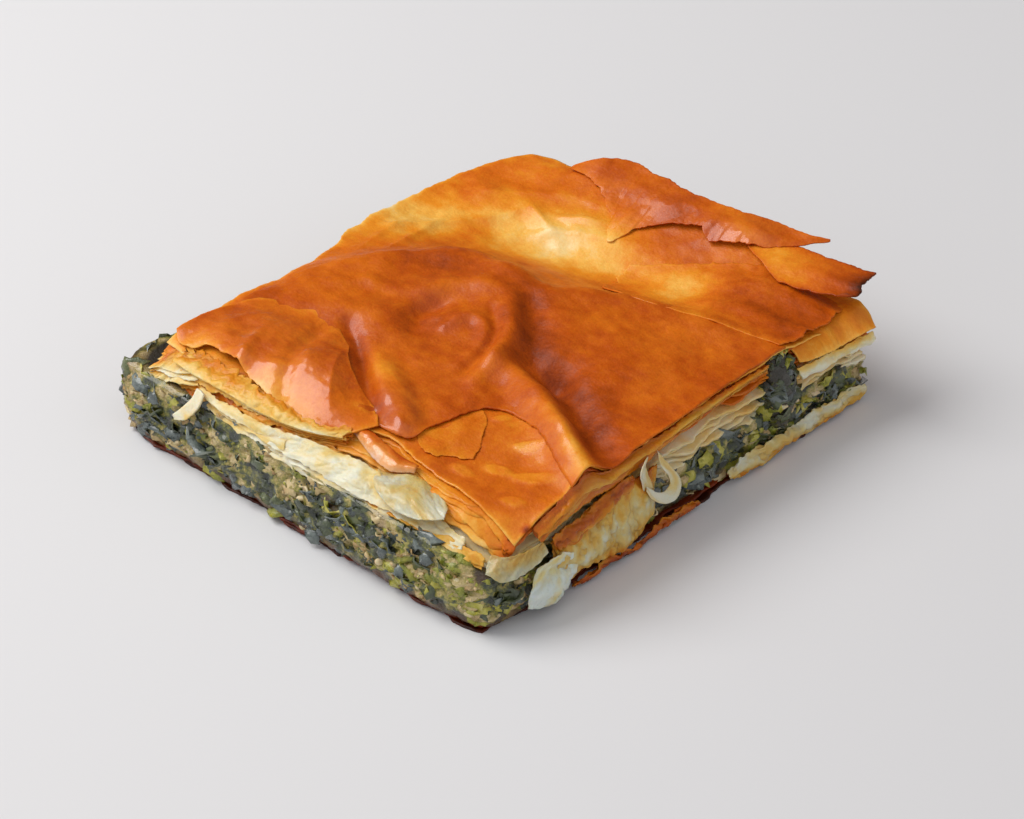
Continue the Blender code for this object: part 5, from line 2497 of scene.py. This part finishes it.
@dataclass(frozen=True)
class Stage:
    """The pale floor, the light and the camera."""

    azimuth: float = 42.79
    elevation: float = 35.21
    roll: float = 0.3
    distance: float = 784.22
    target: Point3 = (1.0, 2.66, 0.0)
    lens: float = 120.7
    light_from: Point3 = (-0.555, -0.329, 0.76)
    light_distance: float = 1.1
    light_size: float = 0.85
    light_power: float = 10.0
    sky: Colour = (236, 238, 242)
    sky_strength: float = 0.78
    wall: Colour = (126, 104, 82)
    wall_from: Point3 = (-0.5, 0.75, 0.4)
    wall_edge: tuple[float, float] = (0.2, 0.9)
    floor_colour: Colour = (220, 220, 222)

    def camera(self, plan: SlicePlan) -> None:
        """Adds the camera.

        Args:
            plan: Where the plan lies in the frame.
        """
        turn, tall, roll = (math.radians(a) for a in (self.azimuth, self.elevation, self.roll))
        back = Vector((math.sin(turn) * math.cos(tall), -math.cos(turn) * math.cos(tall), math.sin(tall)))
        right = Vector((math.cos(turn), math.sin(turn), 0))
        up = back.cross(right)
        aside = right * math.cos(roll) + up * math.sin(roll)
        upright = up * math.cos(roll) - right * math.sin(roll)
        data = bpy.data.cameras.new("camera")
        data.lens, data.sensor_width, data.clip_start = self.lens, 36.0, 0.01
        eye = bpy.data.objects.new("camera", data)
        axes = Matrix((aside, upright, back)).transposed().to_4x4()
        place = Vector(self.target) * MM + plan.shift + back * self.distance * MM
        eye.matrix_world = Matrix.Translation(place) @ axes
        bpy.context.scene.collection.objects.link(eye)
        bpy.context.scene.camera = eye

    def window(self) -> None:
        """Adds a large soft window light."""
        data = bpy.data.lights.new("window", "AREA")
        data.shape, data.size, data.energy = "DISK", self.light_size, self.light_power
        data.color = (1.0, 0.985, 0.96)
        lamp = bpy.data.objects.new("window", data)
        way = Vector(self.light_from).normalized()
        lamp.location = way * self.light_distance
        lamp.rotation_mode = "QUATERNION"
        lamp.rotation_quaternion = way.to_track_quat("Z", "Y")
        bpy.context.scene.collection.objects.link(lamp)

    def room(self) -> None:
        """Adds a pale sky with a darker wall to one side, which light the slice from all round."""
        sky = bpy.data.worlds.new("sky")
        sky.use_nodes = True
        shade = sky.node_tree.nodes["Background"]
        graph = Graph(sky.node_tree)
        toward = graph.node("ShaderNodeTexCoord").outputs["Generated"]
        aim = Vector(self.wall_from).normalized()
        facing = graph.node("ShaderNodeVectorMath", {0: toward, 1: aim}, operation="DOT_PRODUCT")
        wall = graph.node(
            "ShaderNodeMapRange", {"Value": facing.outputs["Value"]}, interpolation_type="SMOOTHSTEP",
        )
        wall.inputs["From Min"].default_value, wall.inputs["From Max"].default_value = self.wall_edge
        graph.feed(
            shade.inputs["Color"], graph.blend(wall.outputs["Result"], linear(self.sky), linear(self.wall)),
        )
        shade.inputs["Strength"].default_value = self.sky_strength
        bpy.context.scene.world = sky

    def floor(self) -> None:
        """Adds the floor."""
        mesh = bpy.data.meshes.new("floor")
        half = 3.0
        mesh.from_pydata(
            [(-half, -half, 0), (half, -half, 0), (half, half, 0), (-half, half, 0)], [], [(0, 1, 2, 3)],
        )
        floor = bpy.data.objects.new("floor", mesh)
        made, _, shader = start_material("pale_floor")
        shader.inputs["Base Color"].default_value = linear(self.floor_colour)
        shader.inputs["Roughness"].default_value = 0.7
        mesh.materials.append(made)
        bpy.context.scene.collection.objects.link(floor)

    def build(self, plan: SlicePlan) -> None:
        """Adds everything round the slice.

        Args:
            plan: Where the plan lies in the frame.
        """
        self.floor()
        self.window()
        self.room()
        self.camera(plan)
        bpy.context.scene.view_settings.view_transform = "Standard"


def write_sizes() -> None:
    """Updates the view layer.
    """
    bpy.context.view_layer.update()


def main() -> None:
    """Builds the slice and what is round it."""
    logging.basicConfig(level=logging.INFO, format="%(message)s")
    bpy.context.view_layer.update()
    plan = SlicePlan.from_frame()
    effects = Effects()
    form = SliceForm()
    Base().build(plan, effects)
    Filling(form).build(plan, effects)
    Crust(form).build(plan, effects)
    TrayEdge().build(plan, effects)
    Stage().build(plan)
    write_sizes()


if __name__ == "__main__":
    main()
